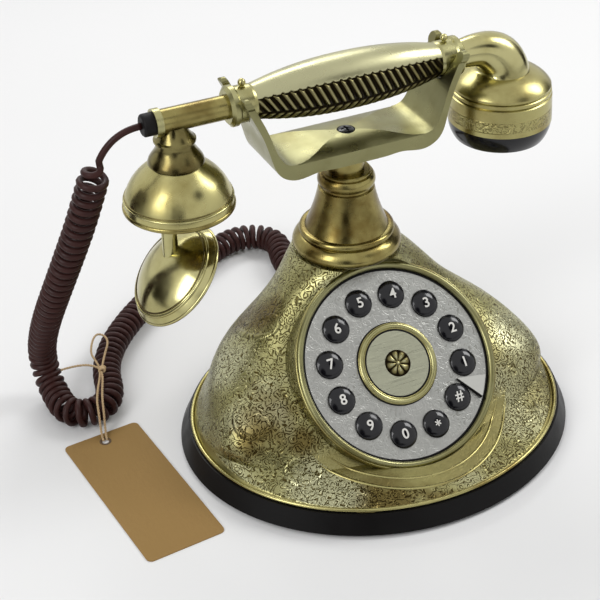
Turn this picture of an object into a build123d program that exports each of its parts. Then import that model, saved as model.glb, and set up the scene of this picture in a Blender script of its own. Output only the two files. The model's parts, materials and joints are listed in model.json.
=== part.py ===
"""French-style cradle phone: push-key dial, sliding cradle, brass handset and curly cord.

Millimetres. The origin is the middle of the base on the table, +Z is up, the dial faces -Y
and the handset lies along X. One function builds each group of sub-parts.
"""

from math import cos, pi, radians, sin, sqrt, tan
import os

from build123d import *

# ---- Fits -------------------------------------------------------------------------------
SLIDE_FIT = 0.05
SEAT_FIT = 0.02
SOFT_GAP = 0.3

# ---- Base -------------------------------------------------------------------------------
BASE_A = 108.5
BASE_B = 97.0
BASE_TOP_A = 104.0
BASE_TOP_B = 92.5
FOOT_HEIGHT = 2.0
FOOT_RADIUS = 8.0
FOOT_X = 62.0
FOOT_Y = 52.0
SHELL_Z = 12.0
FLOOR_TOP = 5.0
TRAY_RIM = 8.0
BOSS_X = 80.0
BOSS_Y = 22.0
BOSS_RADIUS = 4.0
SCREW_RADIUS = 1.5
SCREW_HEAD = 2.8
SCREW_HEAD_HEIGHT = 1.5
SCREW_LENGTH = 12.0
BALLAST_Y = -24.0
BOARD_X = -54.0
BOARD_Y = 34.0
STANDOFF = 3.0
SOCKET_X = -28.0
SOCKET_BACK = 74.0
SOCKET_WIDTH = 14.0
SOCKET_DEPTH = 15.5

# ---- Body shell: height, half width, front, back, widest line ---------------------------
WALL = 2.5
NECK_Y = 33.5
SHELL_TOP = 95.0
SHELL_SECTIONS = [
    (SHELL_Z, 101.5, -90.0, 90.0, 0.0),
    (18.0, 99.0, -57.0, 88.4, -2.5),
    (35.0, 93.0, -38.5, 85.3, -6.9),
    (54.0, 73.3, -18.5, 73.4, 13.4),
    (75.0, 49.2, 0.5, 65.1, 20.0),
    (88.0, 37.5, 3.0, 62.2, 28.0),
    (SHELL_TOP, 29.5, NECK_Y - 29.5, NECK_Y + 29.5, NECK_Y),
]

# ---- Dial: depths run along its normal from the tops of the keys -------------------------
DIAL_Y = -26.5
DIAL_Z = 54.0
DIAL_TILT = 45.0
PLATE_RADIUS = 51.5
PLATE_THICK = 2.0
PLATE_TOP = -3.0
PLATE_BACK = PLATE_TOP - PLATE_THICK
BEZEL_RADIUS = 55.5
BEZEL_TOP = -0.5
BOSS_DEPTH = 14.0
BOSS_FLARE = 59.0
WINDOW_RADIUS = 47.0
KEY_RING = 37.5
KEY_RADIUS = 7.4
KEY_HOLE = 7.55
KEY_DOME = 1.4
KEY_TRAVEL = 1.5
KEY_FLANGE = 8.6
FLANGE_THICK = 1.2
KEY_STEM = 3.0
KEY_BOTTOM = -7.6
KEY_NAMES = ["1", "2", "3", "4", "5", "6", "7", "8", "9", "0", "star", "hash"]
KEY_FIRST = -15.0
KEY_STEP = 30.0
MEDAL_RING = 22.0
MEDAL_DISC = 18.0
MEDAL_TOP = -1.4
STOP_ANGLE = -30.0
STOP_OUTER = 49.5
STOP_INNER = 34.0
STOP_HALF = 6.0
DOME_TOP = KEY_BOTTOM - KEY_TRAVEL - 0.15
DOME_RADIUS = 4.0
MEMBRANE_TOP = DOME_TOP - 1.3
MEMBRANE_THICK = 1.0
BOARD_RADIUS = 46.0
BOARD_THICK = 1.6
BOARD_TOP = MEMBRANE_TOP - MEMBRANE_THICK
POST_RADIUS = 2.5
POST_RING = 25.0

# ---- Neck and plunger -------------------------------------------------------------------
COLLAR_TOP = SHELL_TOP + 13.0
CONE_TOP = COLLAR_TOP + 31.0
BUSH_OUTER = 11.0
BUSH_FLANGE = 13.2
BUSH_TOP = CONE_TOP + 2.0
BUSH_BOTTOM = SHELL_TOP - 8.9
NUT_RADIUS = 14.0
STEM_RADIUS = 9.5
STEM_BOTTOM = BUSH_BOTTOM - 8.1
STEM_FLANGE = 12.5
STEM_FLANGE_THICK = 3.0
PIN_RADIUS = 4.0
PIN_BOTTOM = 40.0
BRACKET_TOP = 48.0
BRACKET_THICK = 3.0
BRACKET_HALF = 33.0
BRACKET_DEPTH = 18.0
SPRING_MEAN = 7.6
SPRING_WIRE = 1.6
SPRING_TURNS = 6
LEVER_TOP = PIN_BOTTOM - SOFT_GAP
LEVER_THICK = 2.0
LEVER_PIVOT_X = 21.0
PIVOT_RADIUS = 1.5
PIVOT_Z = LEVER_TOP - LEVER_THICK / 2
LUG_SPAN = 11.0
SWITCH_TOP = 33.0

# ---- Cradle -----------------------------------------------------------------------------
STEM_TOP = BUSH_TOP + 12.0
CRADLE_HALF = 18.0
CROWN_Z = STEM_TOP + 11.0
EDGE_Z = STEM_TOP + 7.5
HORN_TIP_X = 61.0
HORN_TIP_Z = STEM_TOP + 47.0
HORN_GAP = 11.5
HANDSET_Z = STEM_TOP + 39.0
REST_RADIUS = 9.8
CRADLE_SCREW_HEAD = 4.6
CRADLE_SCREW_SHANK = 3.0
CRADLE_SCREW_SEAT = CROWN_Z - 2.0

# ---- Handset ----------------------------------------------------------------------------
TUBE_RADIUS = 6.2
TUBE_END = -104.0
TUBE_INNER_END = -40.0
RING_SPAN = 3.5
RING_HEIGHT = 1.1
PLUG_END = -110.0
PLUG_RADIUS = 5.8
GRIP_HALF = 52.0
GRIP_END_RADIUS = 9.0
GRIP_MIDDLE_RADIUS = 15.0
FERRULE_RADIUS = 9.5
FERRULE_END = 66.0
KNOB_X = 57.0
FAN_X = 72.0
EAR_X = 93.5
EAR_TOP = HANDSET_Z - 14.0
EAR_TOP_RADIUS = 15.0
EAR_RADIUS = 28.4
EAR_BOTTOM = EAR_TOP - 28.0
COVER_BOTTOM = EAR_BOTTOM - 10.0
MIC_X = -93.5
MIC_RING_Z = HANDSET_Z - 23.0
MIC_BOTTOM = MIC_RING_Z - 23.0
MIC_RADIUS = 27.6
MIC_PLATE_THICK = 2.5
BELL_WALL = 2.0
DISH_X = -97.5
DISH_Z = MIC_BOTTOM - 42.5
DISH_RADIUS = 29.0
DISH_DEPTH = 14.0
DISH_WALL = 1.8
STUB_X = -100.0
STUB_RADIUS = 4.0

# ---- Handset cord -----------------------------------------------------------------------
CORD_WIRE = 3.5
COIL_RADIUS = 6.25
COIL_PITCH = 5.0
RAMP_PITCH = 24.0
RAMP_TURNS = 1.5
RAMP_LENGTH = 20.0
TURN_STEPS = 64
LEAST_GAP = 0.9
FLOOR_COIL = 8.4
RELIEF_X = 15.0
RELIEF_Y = 106.0
RELIEF_Z = FLOOR_COIL
RELIEF_RADIUS = 2.6
RELIEF_ROOT = 80.0
RELIEF_COLLAR = 95.4

# ---- Tag --------------------------------------------------------------------------------
TAG_X = -136.5
TAG_Y = 2.0
TAG_WIDTH = 43.0
TAG_LENGTH = 105.0
TAG_THICK = 0.6
TAG_TURN = 5.0
TAG_HOLE = 2.0
TWINE_RADIUS = 0.7
KNOT_RADIUS = 1.8

BOTTOM = (Align.CENTER, Align.CENTER, Align.MIN)
NECK_PLANE = Plane((0, NECK_Y, 0), x_dir=(1, 0, 0), z_dir=(0, -1, 0))
NECK_AXIS = Axis((0, NECK_Y, 0), (0, 0, 1))
EAR_PLANE = Plane((EAR_X, NECK_Y, 0), x_dir=(1, 0, 0), z_dir=(0, -1, 0))
EAR_AXIS = Axis((EAR_X, NECK_Y, 0), (0, 0, 1))
MIC_PLANE = Plane((MIC_X, NECK_Y, 0), x_dir=(1, 0, 0), z_dir=(0, -1, 0))
MIC_AXIS = Axis((MIC_X, NECK_Y, 0), (0, 0, 1))
HANDSET_PLANE = Plane((0, NECK_Y, HANDSET_Z), x_dir=(1, 0, 0), z_dir=(0, -1, 0))
HANDSET_AXIS = Axis((0, NECK_Y, HANDSET_Z), (1, 0, 0))

os.makedirs("parts", exist_ok=True)


def save(builder, name):
    """Label the finished part and write its file."""
    builder.part.label = name
    export_step(builder.part, f"parts/{name}.step")


# ---- Base -------------------------------------------------------------------------------
def make_base():
    with BuildPart() as base_plate:
        with BuildSketch(Plane.XY.offset(FOOT_HEIGHT)):
            Ellipse(BASE_A, BASE_B)
        with BuildSketch(Plane.XY.offset(SHELL_Z)):
            Ellipse(BASE_TOP_A, BASE_TOP_B)
        loft()
        with BuildSketch(Plane.XY.offset(FLOOR_TOP)):
            Ellipse(BASE_TOP_A - TRAY_RIM, BASE_TOP_B - TRAY_RIM)
        extrude(amount=SHELL_Z - FLOOR_TOP, mode=Mode.SUBTRACT)
        with BuildSketch(Plane.XY.offset(FOOT_HEIGHT)):
            with GridLocations(2 * BOSS_X, 2 * BOSS_Y, 2, 2):
                Circle(SCREW_RADIUS + 0.2)
        extrude(amount=FLOOR_TOP, mode=Mode.SUBTRACT)
        with Locations((SOCKET_X, SOCKET_BACK, FLOOR_TOP)):
            Box(SOCKET_WIDTH + 0.1, 40, SHELL_Z, align=BOTTOM, mode=Mode.SUBTRACT)
        with BuildSketch(Plane((RELIEF_X, 0, RELIEF_Z), x_dir=(1, 0, 0), z_dir=(0, 1, 0))):
            Circle(RELIEF_RADIUS + SEAT_FIT)
        extrude(amount=BASE_B, mode=Mode.SUBTRACT)
    save(base_plate, "base_plate")

    with BuildPart() as rubber_feet:
        with GridLocations(2 * FOOT_X, 2 * FOOT_Y, 2, 2):
            Cylinder(FOOT_RADIUS, FOOT_HEIGHT, align=BOTTOM)
    save(rubber_feet, "rubber_feet")

    with BuildPart() as base_screws:
        with Locations((0, 0, FOOT_HEIGHT - SCREW_HEAD_HEIGHT)):
            with GridLocations(2 * BOSS_X, 2 * BOSS_Y, 2, 2):
                Cylinder(SCREW_HEAD, SCREW_HEAD_HEIGHT, align=BOTTOM)
        with Locations((0, 0, FOOT_HEIGHT)):
            with GridLocations(2 * BOSS_X, 2 * BOSS_Y, 2, 2):
                Cylinder(SCREW_RADIUS, SCREW_LENGTH, align=BOTTOM)
    save(base_screws, "base_screws")

    with BuildPart() as ballast_weight:
        with Locations((0, BALLAST_Y, FLOOR_TOP)):
            Box(110, 56, 5, align=BOTTOM)
        fillet(ballast_weight.edges().filter_by(Axis.Z), 8)
    save(ballast_weight, "ballast_weight")

    with BuildPart() as main_board:
        with Locations((BOARD_X, BOARD_Y, FLOOR_TOP)):
            with GridLocations(28, 28, 2, 2):
                Cylinder(2.2, STANDOFF, align=BOTTOM)
        with Locations((BOARD_X, BOARD_Y, FLOOR_TOP + STANDOFF)):
            Box(36, 36, BOARD_THICK, align=BOTTOM)
    save(main_board, "main_board")

    with BuildPart() as ringer:
        with Locations((BOARD_X, BOARD_Y, FLOOR_TOP + STANDOFF + BOARD_THICK)):
            Cylinder(13, 9, align=BOTTOM)
        with Locations((BOARD_X, BOARD_Y, FLOOR_TOP + STANDOFF + BOARD_THICK + 7)):
            Cylinder(3, 2, align=BOTTOM, mode=Mode.SUBTRACT)
    save(ringer, "ringer")

    with BuildPart() as line_socket:
        with Locations((SOCKET_X, SOCKET_BACK, FLOOR_TOP)):
            Box(SOCKET_WIDTH, SOCKET_DEPTH, SHELL_Z - FLOOR_TOP, align=(Align.CENTER, Align.MIN, Align.MIN))
        with Locations((SOCKET_X, SOCKET_BACK + SOCKET_DEPTH, FLOOR_TOP + 1.2)):
            Box(9.6, 10, 4.6, align=(Align.CENTER, Align.MAX, Align.MIN), mode=Mode.SUBTRACT)
    save(line_socket, "line_socket")


# ---- Body shell -------------------------------------------------------------------------
def oval(height, half_width, front, back, middle):
    """An oval at a height whose front and back halves share one half width."""
    with BuildSketch(Plane.XY.offset(height)) as outline:
        with BuildLine():
            EllipticalCenterArc((0, middle), half_width, back - middle, 0, arc_size=180)
            EllipticalCenterArc((0, middle), half_width, middle - front, 180, arc_size=180)
        make_face()
    return outline.sketch


def shell_sections(inset):
    """The shell's ovals, drawn in and lowered by the same inset."""
    return [
        oval(height - inset, half_width - inset, front + inset, back - inset, middle)
        for height, half_width, front, back, middle in SHELL_SECTIONS
    ]


def dial_plane(depth):
    """The dial's plane, moved along its normal; local X is right and local Y is up the dial."""
    tilt = radians(DIAL_TILT)
    normal = Vector(0, -sin(tilt), cos(tilt))
    return Plane(Vector(0, DIAL_Y, DIAL_Z) + normal * depth, (1, 0, 0), normal)


def make_shell():
    with BuildPart() as cavity:
        inner_sections = shell_sections(WALL)
        loft(inner_sections[:2], ruled=True)
        loft(inner_sections[1:])
        with BuildSketch(dial_plane(PLATE_BACK - WALL)):
            Circle(BEZEL_RADIUS + WALL)
        extrude(amount=BASE_A, mode=Mode.SUBTRACT)
        with BuildSketch(dial_plane(PLATE_BACK + 1)):
            Circle(WINDOW_RADIUS)
        with BuildSketch(dial_plane(PLATE_BACK - BOSS_DEPTH - WALL)):
            Circle(BOSS_FLARE - 2 * WALL)
        loft()
        with Locations((0, 0, SHELL_Z)):
            with GridLocations(2 * BOSS_X, 2 * BOSS_Y, 2, 2):
                Cylinder(BOSS_RADIUS, SHELL_TOP, mode=Mode.SUBTRACT, align=BOTTOM)

    with BuildPart() as dial_boss:
        with BuildSketch(dial_plane(PLATE_BACK)):
            Circle(BEZEL_RADIUS)
        with BuildSketch(dial_plane(PLATE_BACK - BOSS_DEPTH)):
            Circle(BOSS_FLARE)
        loft()
        with Locations((0, 0, SHELL_Z + 1)):
            Box(4 * BASE_A, 4 * BASE_B, 4 * SHELL_Z, mode=Mode.SUBTRACT,
                align=(Align.CENTER, Align.CENTER, Align.MAX))

    with BuildPart() as body_shell:
        outer_sections = shell_sections(0)
        loft(outer_sections[:2], ruled=True)
        loft(outer_sections[1:])
        add(dial_boss.part)
        with BuildSketch(dial_plane(PLATE_BACK)):
            Circle(BEZEL_RADIUS + SEAT_FIT)
        extrude(amount=BASE_A, mode=Mode.SUBTRACT)
        add(cavity.part, mode=Mode.SUBTRACT)
        with Locations((0, 0, FLOOR_TOP)):
            with GridLocations(2 * BOSS_X, 2 * BOSS_Y, 2, 2):
                Cylinder(BOSS_RADIUS, 2 * (SHELL_Z - FLOOR_TOP), align=BOTTOM)
        with Locations((0, 0, FLOOR_TOP)):
            with GridLocations(2 * BOSS_X, 2 * BOSS_Y, 2, 2):
                Cylinder(SCREW_RADIUS, SCREW_LENGTH - 3, align=BOTTOM, mode=Mode.SUBTRACT)
        with Locations((0, NECK_Y, SHELL_TOP)):
            Cylinder(BUSH_OUTER + SEAT_FIT, 4 * WALL, mode=Mode.SUBTRACT)
    save(body_shell, "body_shell")


# ---- Neck, plunger and hook switch ------------------------------------------------------
def make_neck():
    bore = BUSH_OUTER + SEAT_FIT
    with BuildPart() as neck_collar:
        with BuildSketch(NECK_PLANE):
            with BuildLine():
                Line((bore, SHELL_TOP), (27, SHELL_TOP))
                Spline(
                    (27, SHELL_TOP),
                    (29.3, SHELL_TOP + 4),
                    (27.6, COLLAR_TOP - 5.6),
                    (24.6, COLLAR_TOP - 3.6),
                )
                ThreePointArc((24.6, COLLAR_TOP - 3.6), (25.6, COLLAR_TOP - 1.6), (23.6, COLLAR_TOP))
                Polyline((23.6, COLLAR_TOP), (bore, COLLAR_TOP), (bore, SHELL_TOP))
            make_face()
        revolve(axis=NECK_AXIS)
    save(neck_collar, "neck_collar")

    with BuildPart() as neck_cone:
        with BuildSketch(NECK_PLANE):
            with BuildLine():
                Line((bore, COLLAR_TOP), (22.5, COLLAR_TOP))
                Spline((22.5, COLLAR_TOP), (18.4, COLLAR_TOP + 10), (15, CONE_TOP - 8))
                Polyline(
                    (15, CONE_TOP - 8),
                    (14, CONE_TOP - 7.4),
                    (14, CONE_TOP - 6.4),
                    (14.8, CONE_TOP - 5.8),
                )
                Spline((14.8, CONE_TOP - 5.8), (15.4, CONE_TOP - 4), (14.2, CONE_TOP))
                Polyline((14.2, CONE_TOP), (bore, CONE_TOP), (bore, COLLAR_TOP))
            make_face()
        revolve(axis=NECK_AXIS)
    save(neck_cone, "neck_cone")

    with BuildPart() as plunger_bush:
        with BuildSketch(NECK_PLANE):
            with BuildLine():
                Polyline(
                    (STEM_RADIUS + SLIDE_FIT, BUSH_BOTTOM),
                    (BUSH_OUTER, BUSH_BOTTOM),
                    (BUSH_OUTER, CONE_TOP),
                    (BUSH_FLANGE, CONE_TOP),
                    (BUSH_FLANGE, BUSH_TOP - 0.6),
                    (BUSH_FLANGE - 0.6, BUSH_TOP),
                    (STEM_RADIUS + SLIDE_FIT, BUSH_TOP),
                    close=True,
                )
            make_face()
        revolve(axis=NECK_AXIS)
    save(plunger_bush, "plunger_bush")

    with BuildPart() as neck_nut:
        with BuildSketch(Plane.XY.offset(BUSH_BOTTOM)):
            with Locations((0, NECK_Y)):
                RegularPolygon(NUT_RADIUS, 6)
                Circle(bore, mode=Mode.SUBTRACT)
        extrude(amount=SHELL_TOP - WALL - BUSH_BOTTOM)
    save(neck_nut, "neck_nut")

    with BuildPart() as plunger_stem:
        with BuildSketch(NECK_PLANE):
            with BuildLine():
                Polyline(
                    (0, PIN_BOTTOM),
                    (PIN_RADIUS, PIN_BOTTOM),
                    (PIN_RADIUS, STEM_BOTTOM),
                    (STEM_FLANGE, STEM_BOTTOM),
                    (STEM_FLANGE, STEM_BOTTOM + STEM_FLANGE_THICK),
                    (STEM_RADIUS, STEM_BOTTOM + STEM_FLANGE_THICK),
                    (STEM_RADIUS, STEM_TOP),
                    (CRADLE_SCREW_SHANK, STEM_TOP),
                    (CRADLE_SCREW_SHANK, STEM_TOP - 10),
                    (0, STEM_TOP - 10),
                    close=True,
                )
            make_face()
        revolve(axis=NECK_AXIS)
    save(plunger_stem, "plunger_stem")


def make_hook():
    under = BRACKET_TOP - BRACKET_THICK
    with BuildPart() as plunger_bracket:
        with Locations((0, NECK_Y, under)):
            Box(2 * BRACKET_HALF, BRACKET_DEPTH, BRACKET_THICK, align=BOTTOM)
        with Locations((0, NECK_Y, FLOOR_TOP)):
            with GridLocations(2 * BRACKET_HALF - BRACKET_THICK, 0, 2, 1):
                Box(BRACKET_THICK, BRACKET_DEPTH, under - FLOOR_TOP, align=BOTTOM)
        with Locations((LEVER_PIVOT_X, NECK_Y, under)):
            with GridLocations(0, LUG_SPAN, 1, 2):
                Box(7, 2, 12, align=(Align.CENTER, Align.CENTER, Align.MAX))
        with BuildSketch(Plane((LEVER_PIVOT_X, NECK_Y, PIVOT_Z), x_dir=(1, 0, 0), z_dir=(0, 1, 0))):
            Circle(PIVOT_RADIUS + SLIDE_FIT)
        extrude(amount=BRACKET_DEPTH, both=True, mode=Mode.SUBTRACT)
        with Locations((0, NECK_Y, BRACKET_TOP)):
            Cylinder(PIN_RADIUS + SOFT_GAP, 4 * BRACKET_THICK, mode=Mode.SUBTRACT)
    save(plunger_bracket, "plunger_bracket")

    with BuildPart() as hook_lever:
        with Locations((-PIN_RADIUS, NECK_Y, LEVER_TOP)):
            Box(LEVER_PIVOT_X + PIN_RADIUS, 8, LEVER_THICK, align=(Align.MIN, Align.CENTER, Align.MAX))
        with BuildSketch(Plane((LEVER_PIVOT_X, NECK_Y, PIVOT_Z), x_dir=(1, 0, 0), z_dir=(0, 1, 0))):
            Circle(PIVOT_RADIUS + 1)
        extrude(amount=4, both=True)
        with BuildSketch(Plane((LEVER_PIVOT_X, NECK_Y, PIVOT_Z), x_dir=(1, 0, 0), z_dir=(0, 1, 0))):
            Circle(PIVOT_RADIUS)
        extrude(amount=LUG_SPAN / 2 + 1, both=True)
    save(hook_lever, "hook_lever")

    with BuildPart() as hook_switch:
        with Locations((0, NECK_Y, FLOOR_TOP)):
            Box(14, 10, SWITCH_TOP - FLOOR_TOP, align=BOTTOM)
        with Locations((0, NECK_Y, SWITCH_TOP)):
            Box(3, 4, LEVER_TOP - LEVER_THICK - SWITCH_TOP - SOFT_GAP, align=BOTTOM)
    save(hook_switch, "hook_switch")

    spring_low = BRACKET_TOP + SOFT_GAP + SPRING_WIRE / 2
    spring_high = STEM_BOTTOM - SOFT_GAP - SPRING_WIRE / 2
    with BuildPart() as plunger_spring:
        with BuildLine(Plane((0, NECK_Y, spring_low))) as coil:
            spring_height = spring_high - spring_low
            Helix(spring_height / SPRING_TURNS, spring_height, SPRING_MEAN)
        with BuildSketch(Plane(coil.line @ 0, z_dir=coil.line % 0)):
            Circle(SPRING_WIRE / 2)
        sweep(is_frenet=True)
    save(plunger_spring, "plunger_spring")


# ---- Cradle -----------------------------------------------------------------------------
def cradle_side():
    """The cradle seen from the front: a bar whose two ends turn up into horns."""
    with BuildSketch(NECK_PLANE) as side:
        with BuildLine() as half:
            Polyline((0, CROWN_Z), (0, STEM_TOP), (12, STEM_TOP))
            Spline((12, STEM_TOP), (24, STEM_TOP + 0.6), (37, STEM_TOP - 0.8), (45.5, STEM_TOP + 3.5),
                   (50, STEM_TOP + 14), (54.5, STEM_TOP + 28),
                   (HORN_TIP_X + 1.8, HORN_TIP_Z - 0.8), tangents=((1, 0), (0.42, 1)))
            ThreePointArc(
                (HORN_TIP_X + 1.8, HORN_TIP_Z - 0.8),
                (HORN_TIP_X + 0.4, HORN_TIP_Z + 1),
                (HORN_TIP_X - 1.8, HORN_TIP_Z),
            )
            Spline((HORN_TIP_X - 1.8, HORN_TIP_Z), (50.8, STEM_TOP + 28.5), (46, STEM_TOP + 15),
                   (41.5, STEM_TOP + 9), (34, STEM_TOP + 7.8), (20, STEM_TOP + 9.8), (0, CROWN_Z),
                   tangents=((-0.42, -1), (-1, 0)))
        make_face()
        mirror(about=Plane.YZ)
    return side.sketch


def make_cradle():
    crown_drop = CROWN_Z - EDGE_Z
    with BuildPart() as cradle:
        with BuildSketch(Plane.YZ):
            with BuildLine():
                Line((NECK_Y - CRADLE_HALF, STEM_TOP - 3), (NECK_Y + CRADLE_HALF, STEM_TOP - 3))
                Line((NECK_Y + CRADLE_HALF, STEM_TOP - 3), (NECK_Y + CRADLE_HALF, EDGE_Z))
                Line((NECK_Y + CRADLE_HALF, EDGE_Z), (NECK_Y + CRADLE_HALF - 2, HANDSET_Z + 3))
                ThreePointArc(
                    (NECK_Y + CRADLE_HALF - 2, HANDSET_Z + 3),
                    (NECK_Y + (CRADLE_HALF - 2 + HORN_GAP) / 2, HORN_TIP_Z + 0.8),
                    (NECK_Y + HORN_GAP, HANDSET_Z + 4),
                )
                Line((NECK_Y + HORN_GAP, HANDSET_Z + 4), (NECK_Y + REST_RADIUS, HANDSET_Z))
                ThreePointArc(
                    (NECK_Y + REST_RADIUS, HANDSET_Z),
                    (NECK_Y, HANDSET_Z - REST_RADIUS),
                    (NECK_Y - REST_RADIUS, HANDSET_Z),
                )
                Line((NECK_Y - REST_RADIUS, HANDSET_Z), (NECK_Y - HORN_GAP, HANDSET_Z + 4))
                ThreePointArc(
                    (NECK_Y - HORN_GAP, HANDSET_Z + 4),
                    (NECK_Y - (CRADLE_HALF - 2 + HORN_GAP) / 2, HORN_TIP_Z + 0.8),
                    (NECK_Y - CRADLE_HALF + 2, HANDSET_Z + 3),
                )
                Line((NECK_Y - CRADLE_HALF + 2, HANDSET_Z + 3), (NECK_Y - CRADLE_HALF, EDGE_Z))
                Line((NECK_Y - CRADLE_HALF, EDGE_Z), (NECK_Y - CRADLE_HALF, STEM_TOP - 3))
            make_face()
        extrude(amount=2 * HORN_TIP_X, both=True)
        outline = extrude(cradle_side(), amount=2 * CRADLE_HALF, both=True, mode=Mode.PRIVATE)
        add(outline, mode=Mode.INTERSECT)
        with BuildSketch(Plane.YZ):
            with BuildLine():
                ThreePointArc(
                    (NECK_Y - CRADLE_HALF - 1, EDGE_Z - 0.4),
                    (NECK_Y, CROWN_Z),
                    (NECK_Y + CRADLE_HALF + 1, EDGE_Z - 0.4),
                )
                Polyline(
                    (NECK_Y + CRADLE_HALF + 1, EDGE_Z - 0.4),
                    (NECK_Y + CRADLE_HALF + 1, CROWN_Z + crown_drop),
                    (NECK_Y - CRADLE_HALF - 1, CROWN_Z + crown_drop),
                    (NECK_Y - CRADLE_HALF - 1, EDGE_Z - 0.4),
                )
            make_face()
        extrude(amount=36, both=True, mode=Mode.SUBTRACT)
        with Locations((0, NECK_Y, CRADLE_SCREW_SEAT)):
            Cylinder(CRADLE_SCREW_HEAD + 0.2, CROWN_Z, align=BOTTOM, mode=Mode.SUBTRACT)
        with Locations((0, NECK_Y, CRADLE_SCREW_SEAT)):
            Cylinder(CRADLE_SCREW_SHANK + SEAT_FIT, CROWN_Z, mode=Mode.SUBTRACT)
    save(cradle, "cradle")

    with BuildPart() as cradle_screw:
        with BuildSketch(NECK_PLANE):
            with BuildLine():
                Polyline((0, CRADLE_SCREW_SEAT), (CRADLE_SCREW_HEAD, CRADLE_SCREW_SEAT),
                         (CRADLE_SCREW_HEAD, CRADLE_SCREW_SEAT + 1))
                Spline((CRADLE_SCREW_HEAD, CRADLE_SCREW_SEAT + 1), (3, CRADLE_SCREW_SEAT + 2.4),
                       (0, CRADLE_SCREW_SEAT + 2.9), tangents=((0, 1), (-1, 0)))
                Line((0, CRADLE_SCREW_SEAT + 2.9), (0, CRADLE_SCREW_SEAT))
            make_face()
        revolve(axis=NECK_AXIS)
        with Locations((0, NECK_Y, CRADLE_SCREW_SEAT)):
            Cylinder(CRADLE_SCREW_SHANK, CRADLE_SCREW_SEAT - STEM_TOP + 9,
                     align=(Align.CENTER, Align.CENTER, Align.MAX))
        with Locations((0, NECK_Y, CRADLE_SCREW_SEAT + 1.7)):
            Box(6, 1.2, 4, align=BOTTOM, mode=Mode.SUBTRACT)
            Box(1.2, 6, 4, align=BOTTOM, mode=Mode.SUBTRACT)
    save(cradle_screw, "cradle_screw")


# ---- Handset ----------------------------------------------------------------------------
def make_grip():
    with BuildPart() as handset_tube:
        with BuildSketch(HANDSET_PLANE):
            with Locations((TUBE_END, 0)):
                Rectangle(TUBE_INNER_END - TUBE_END, TUBE_RADIUS, align=(Align.MIN, Align.MIN))
        revolve(axis=HANDSET_AXIS)
    save(handset_tube, "handset_tube")

    with BuildPart() as cord_grommet:
        with BuildSketch(HANDSET_PLANE):
            with BuildLine():
                Polyline((TUBE_END, 0), (TUBE_END, PLUG_RADIUS), (PLUG_END + 1.5, PLUG_RADIUS))
                ThreePointArc((PLUG_END + 1.5, PLUG_RADIUS), (PLUG_END + 0.4, PLUG_RADIUS - 0.5),
                              (PLUG_END, PLUG_RADIUS - 1.5))
                Polyline((PLUG_END, PLUG_RADIUS - 1.5), (PLUG_END, 0), (TUBE_END, 0))
            make_face()
        revolve(axis=HANDSET_AXIS)
    save(cord_grommet, "cord_grommet")

    with BuildPart() as tube_ring:
        with BuildSketch(HANDSET_PLANE):
            with Locations((TUBE_END, TUBE_RADIUS + SEAT_FIT)):
                Rectangle(RING_SPAN, 1, align=(Align.MIN, Align.MIN))
        revolve(axis=HANDSET_AXIS)
    save(tube_ring, "tube_ring")

    with BuildPart() as grip:
        with BuildSketch(HANDSET_PLANE):
            with BuildLine():
                Line((-GRIP_HALF, 0), (-GRIP_HALF, GRIP_END_RADIUS))
                Spline((-GRIP_HALF, GRIP_END_RADIUS), (-35, 12.6), (-15, 14.6), (0, GRIP_MIDDLE_RADIUS),
                       (15, 14.6), (35, 12.6), (GRIP_HALF, GRIP_END_RADIUS))
                Polyline((GRIP_HALF, GRIP_END_RADIUS), (GRIP_HALF, 0), (-GRIP_HALF, 0))
            make_face()
        revolve(axis=HANDSET_AXIS)
        with BuildSketch(HANDSET_PLANE):
            with Locations((-GRIP_HALF, 0)):
                Rectangle(GRIP_HALF + TUBE_INNER_END, TUBE_RADIUS + SEAT_FIT, align=(Align.MIN, Align.MIN))
        revolve(axis=HANDSET_AXIS, mode=Mode.SUBTRACT)
    save(grip, "grip")

    with BuildPart() as left_ferrule:
        add(revolve(ferrule_profile(TUBE_RADIUS + SEAT_FIT), axis=HANDSET_AXIS, mode=Mode.PRIVATE))
        with Locations((-KNOB_X, NECK_Y, HANDSET_Z + FERRULE_RADIUS)):
            Cylinder(1, 6, mode=Mode.SUBTRACT)
    save(left_ferrule, "left_ferrule")

    with BuildPart() as right_ferrule:
        mirrored = mirror(revolve(ferrule_profile(0), axis=HANDSET_AXIS, mode=Mode.PRIVATE),
                          about=Plane.YZ, mode=Mode.PRIVATE)
        add(mirrored)
        with Locations((KNOB_X, NECK_Y, HANDSET_Z + FERRULE_RADIUS)):
            Cylinder(1, 6, mode=Mode.SUBTRACT)
    save(right_ferrule, "right_ferrule")

    with BuildPart() as ferrule_screws:
        with Locations((-KNOB_X, NECK_Y, HANDSET_Z + FERRULE_RADIUS - 2.5),
                       (KNOB_X, NECK_Y, HANDSET_Z + FERRULE_RADIUS - 2.5)):
            Cylinder(1, 4.5, align=BOTTOM)
        with Locations((-KNOB_X, NECK_Y, HANDSET_Z + FERRULE_RADIUS + 2),
                       (KNOB_X, NECK_Y, HANDSET_Z + FERRULE_RADIUS + 2)):
            Sphere(2)
    save(ferrule_screws, "ferrule_screws")


def ferrule_profile(bore):
    """The left ferrule's half section, with a flange at its outer end."""
    with BuildSketch(HANDSET_PLANE) as half:
        with BuildLine():
            Polyline(
                (-GRIP_HALF, bore),
                (-GRIP_HALF, GRIP_END_RADIUS),
                (-GRIP_HALF - 1.5, FERRULE_RADIUS),
                (-FERRULE_END + 5, FERRULE_RADIUS),
                (-FERRULE_END + 4, FERRULE_RADIUS + 1),
                (-FERRULE_END + 1.5, FERRULE_RADIUS + 1),
                (-FERRULE_END, FERRULE_RADIUS - 1),
                (-FERRULE_END, bore),
                close=True,
            )
        make_face()
    return half.sketch


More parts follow.
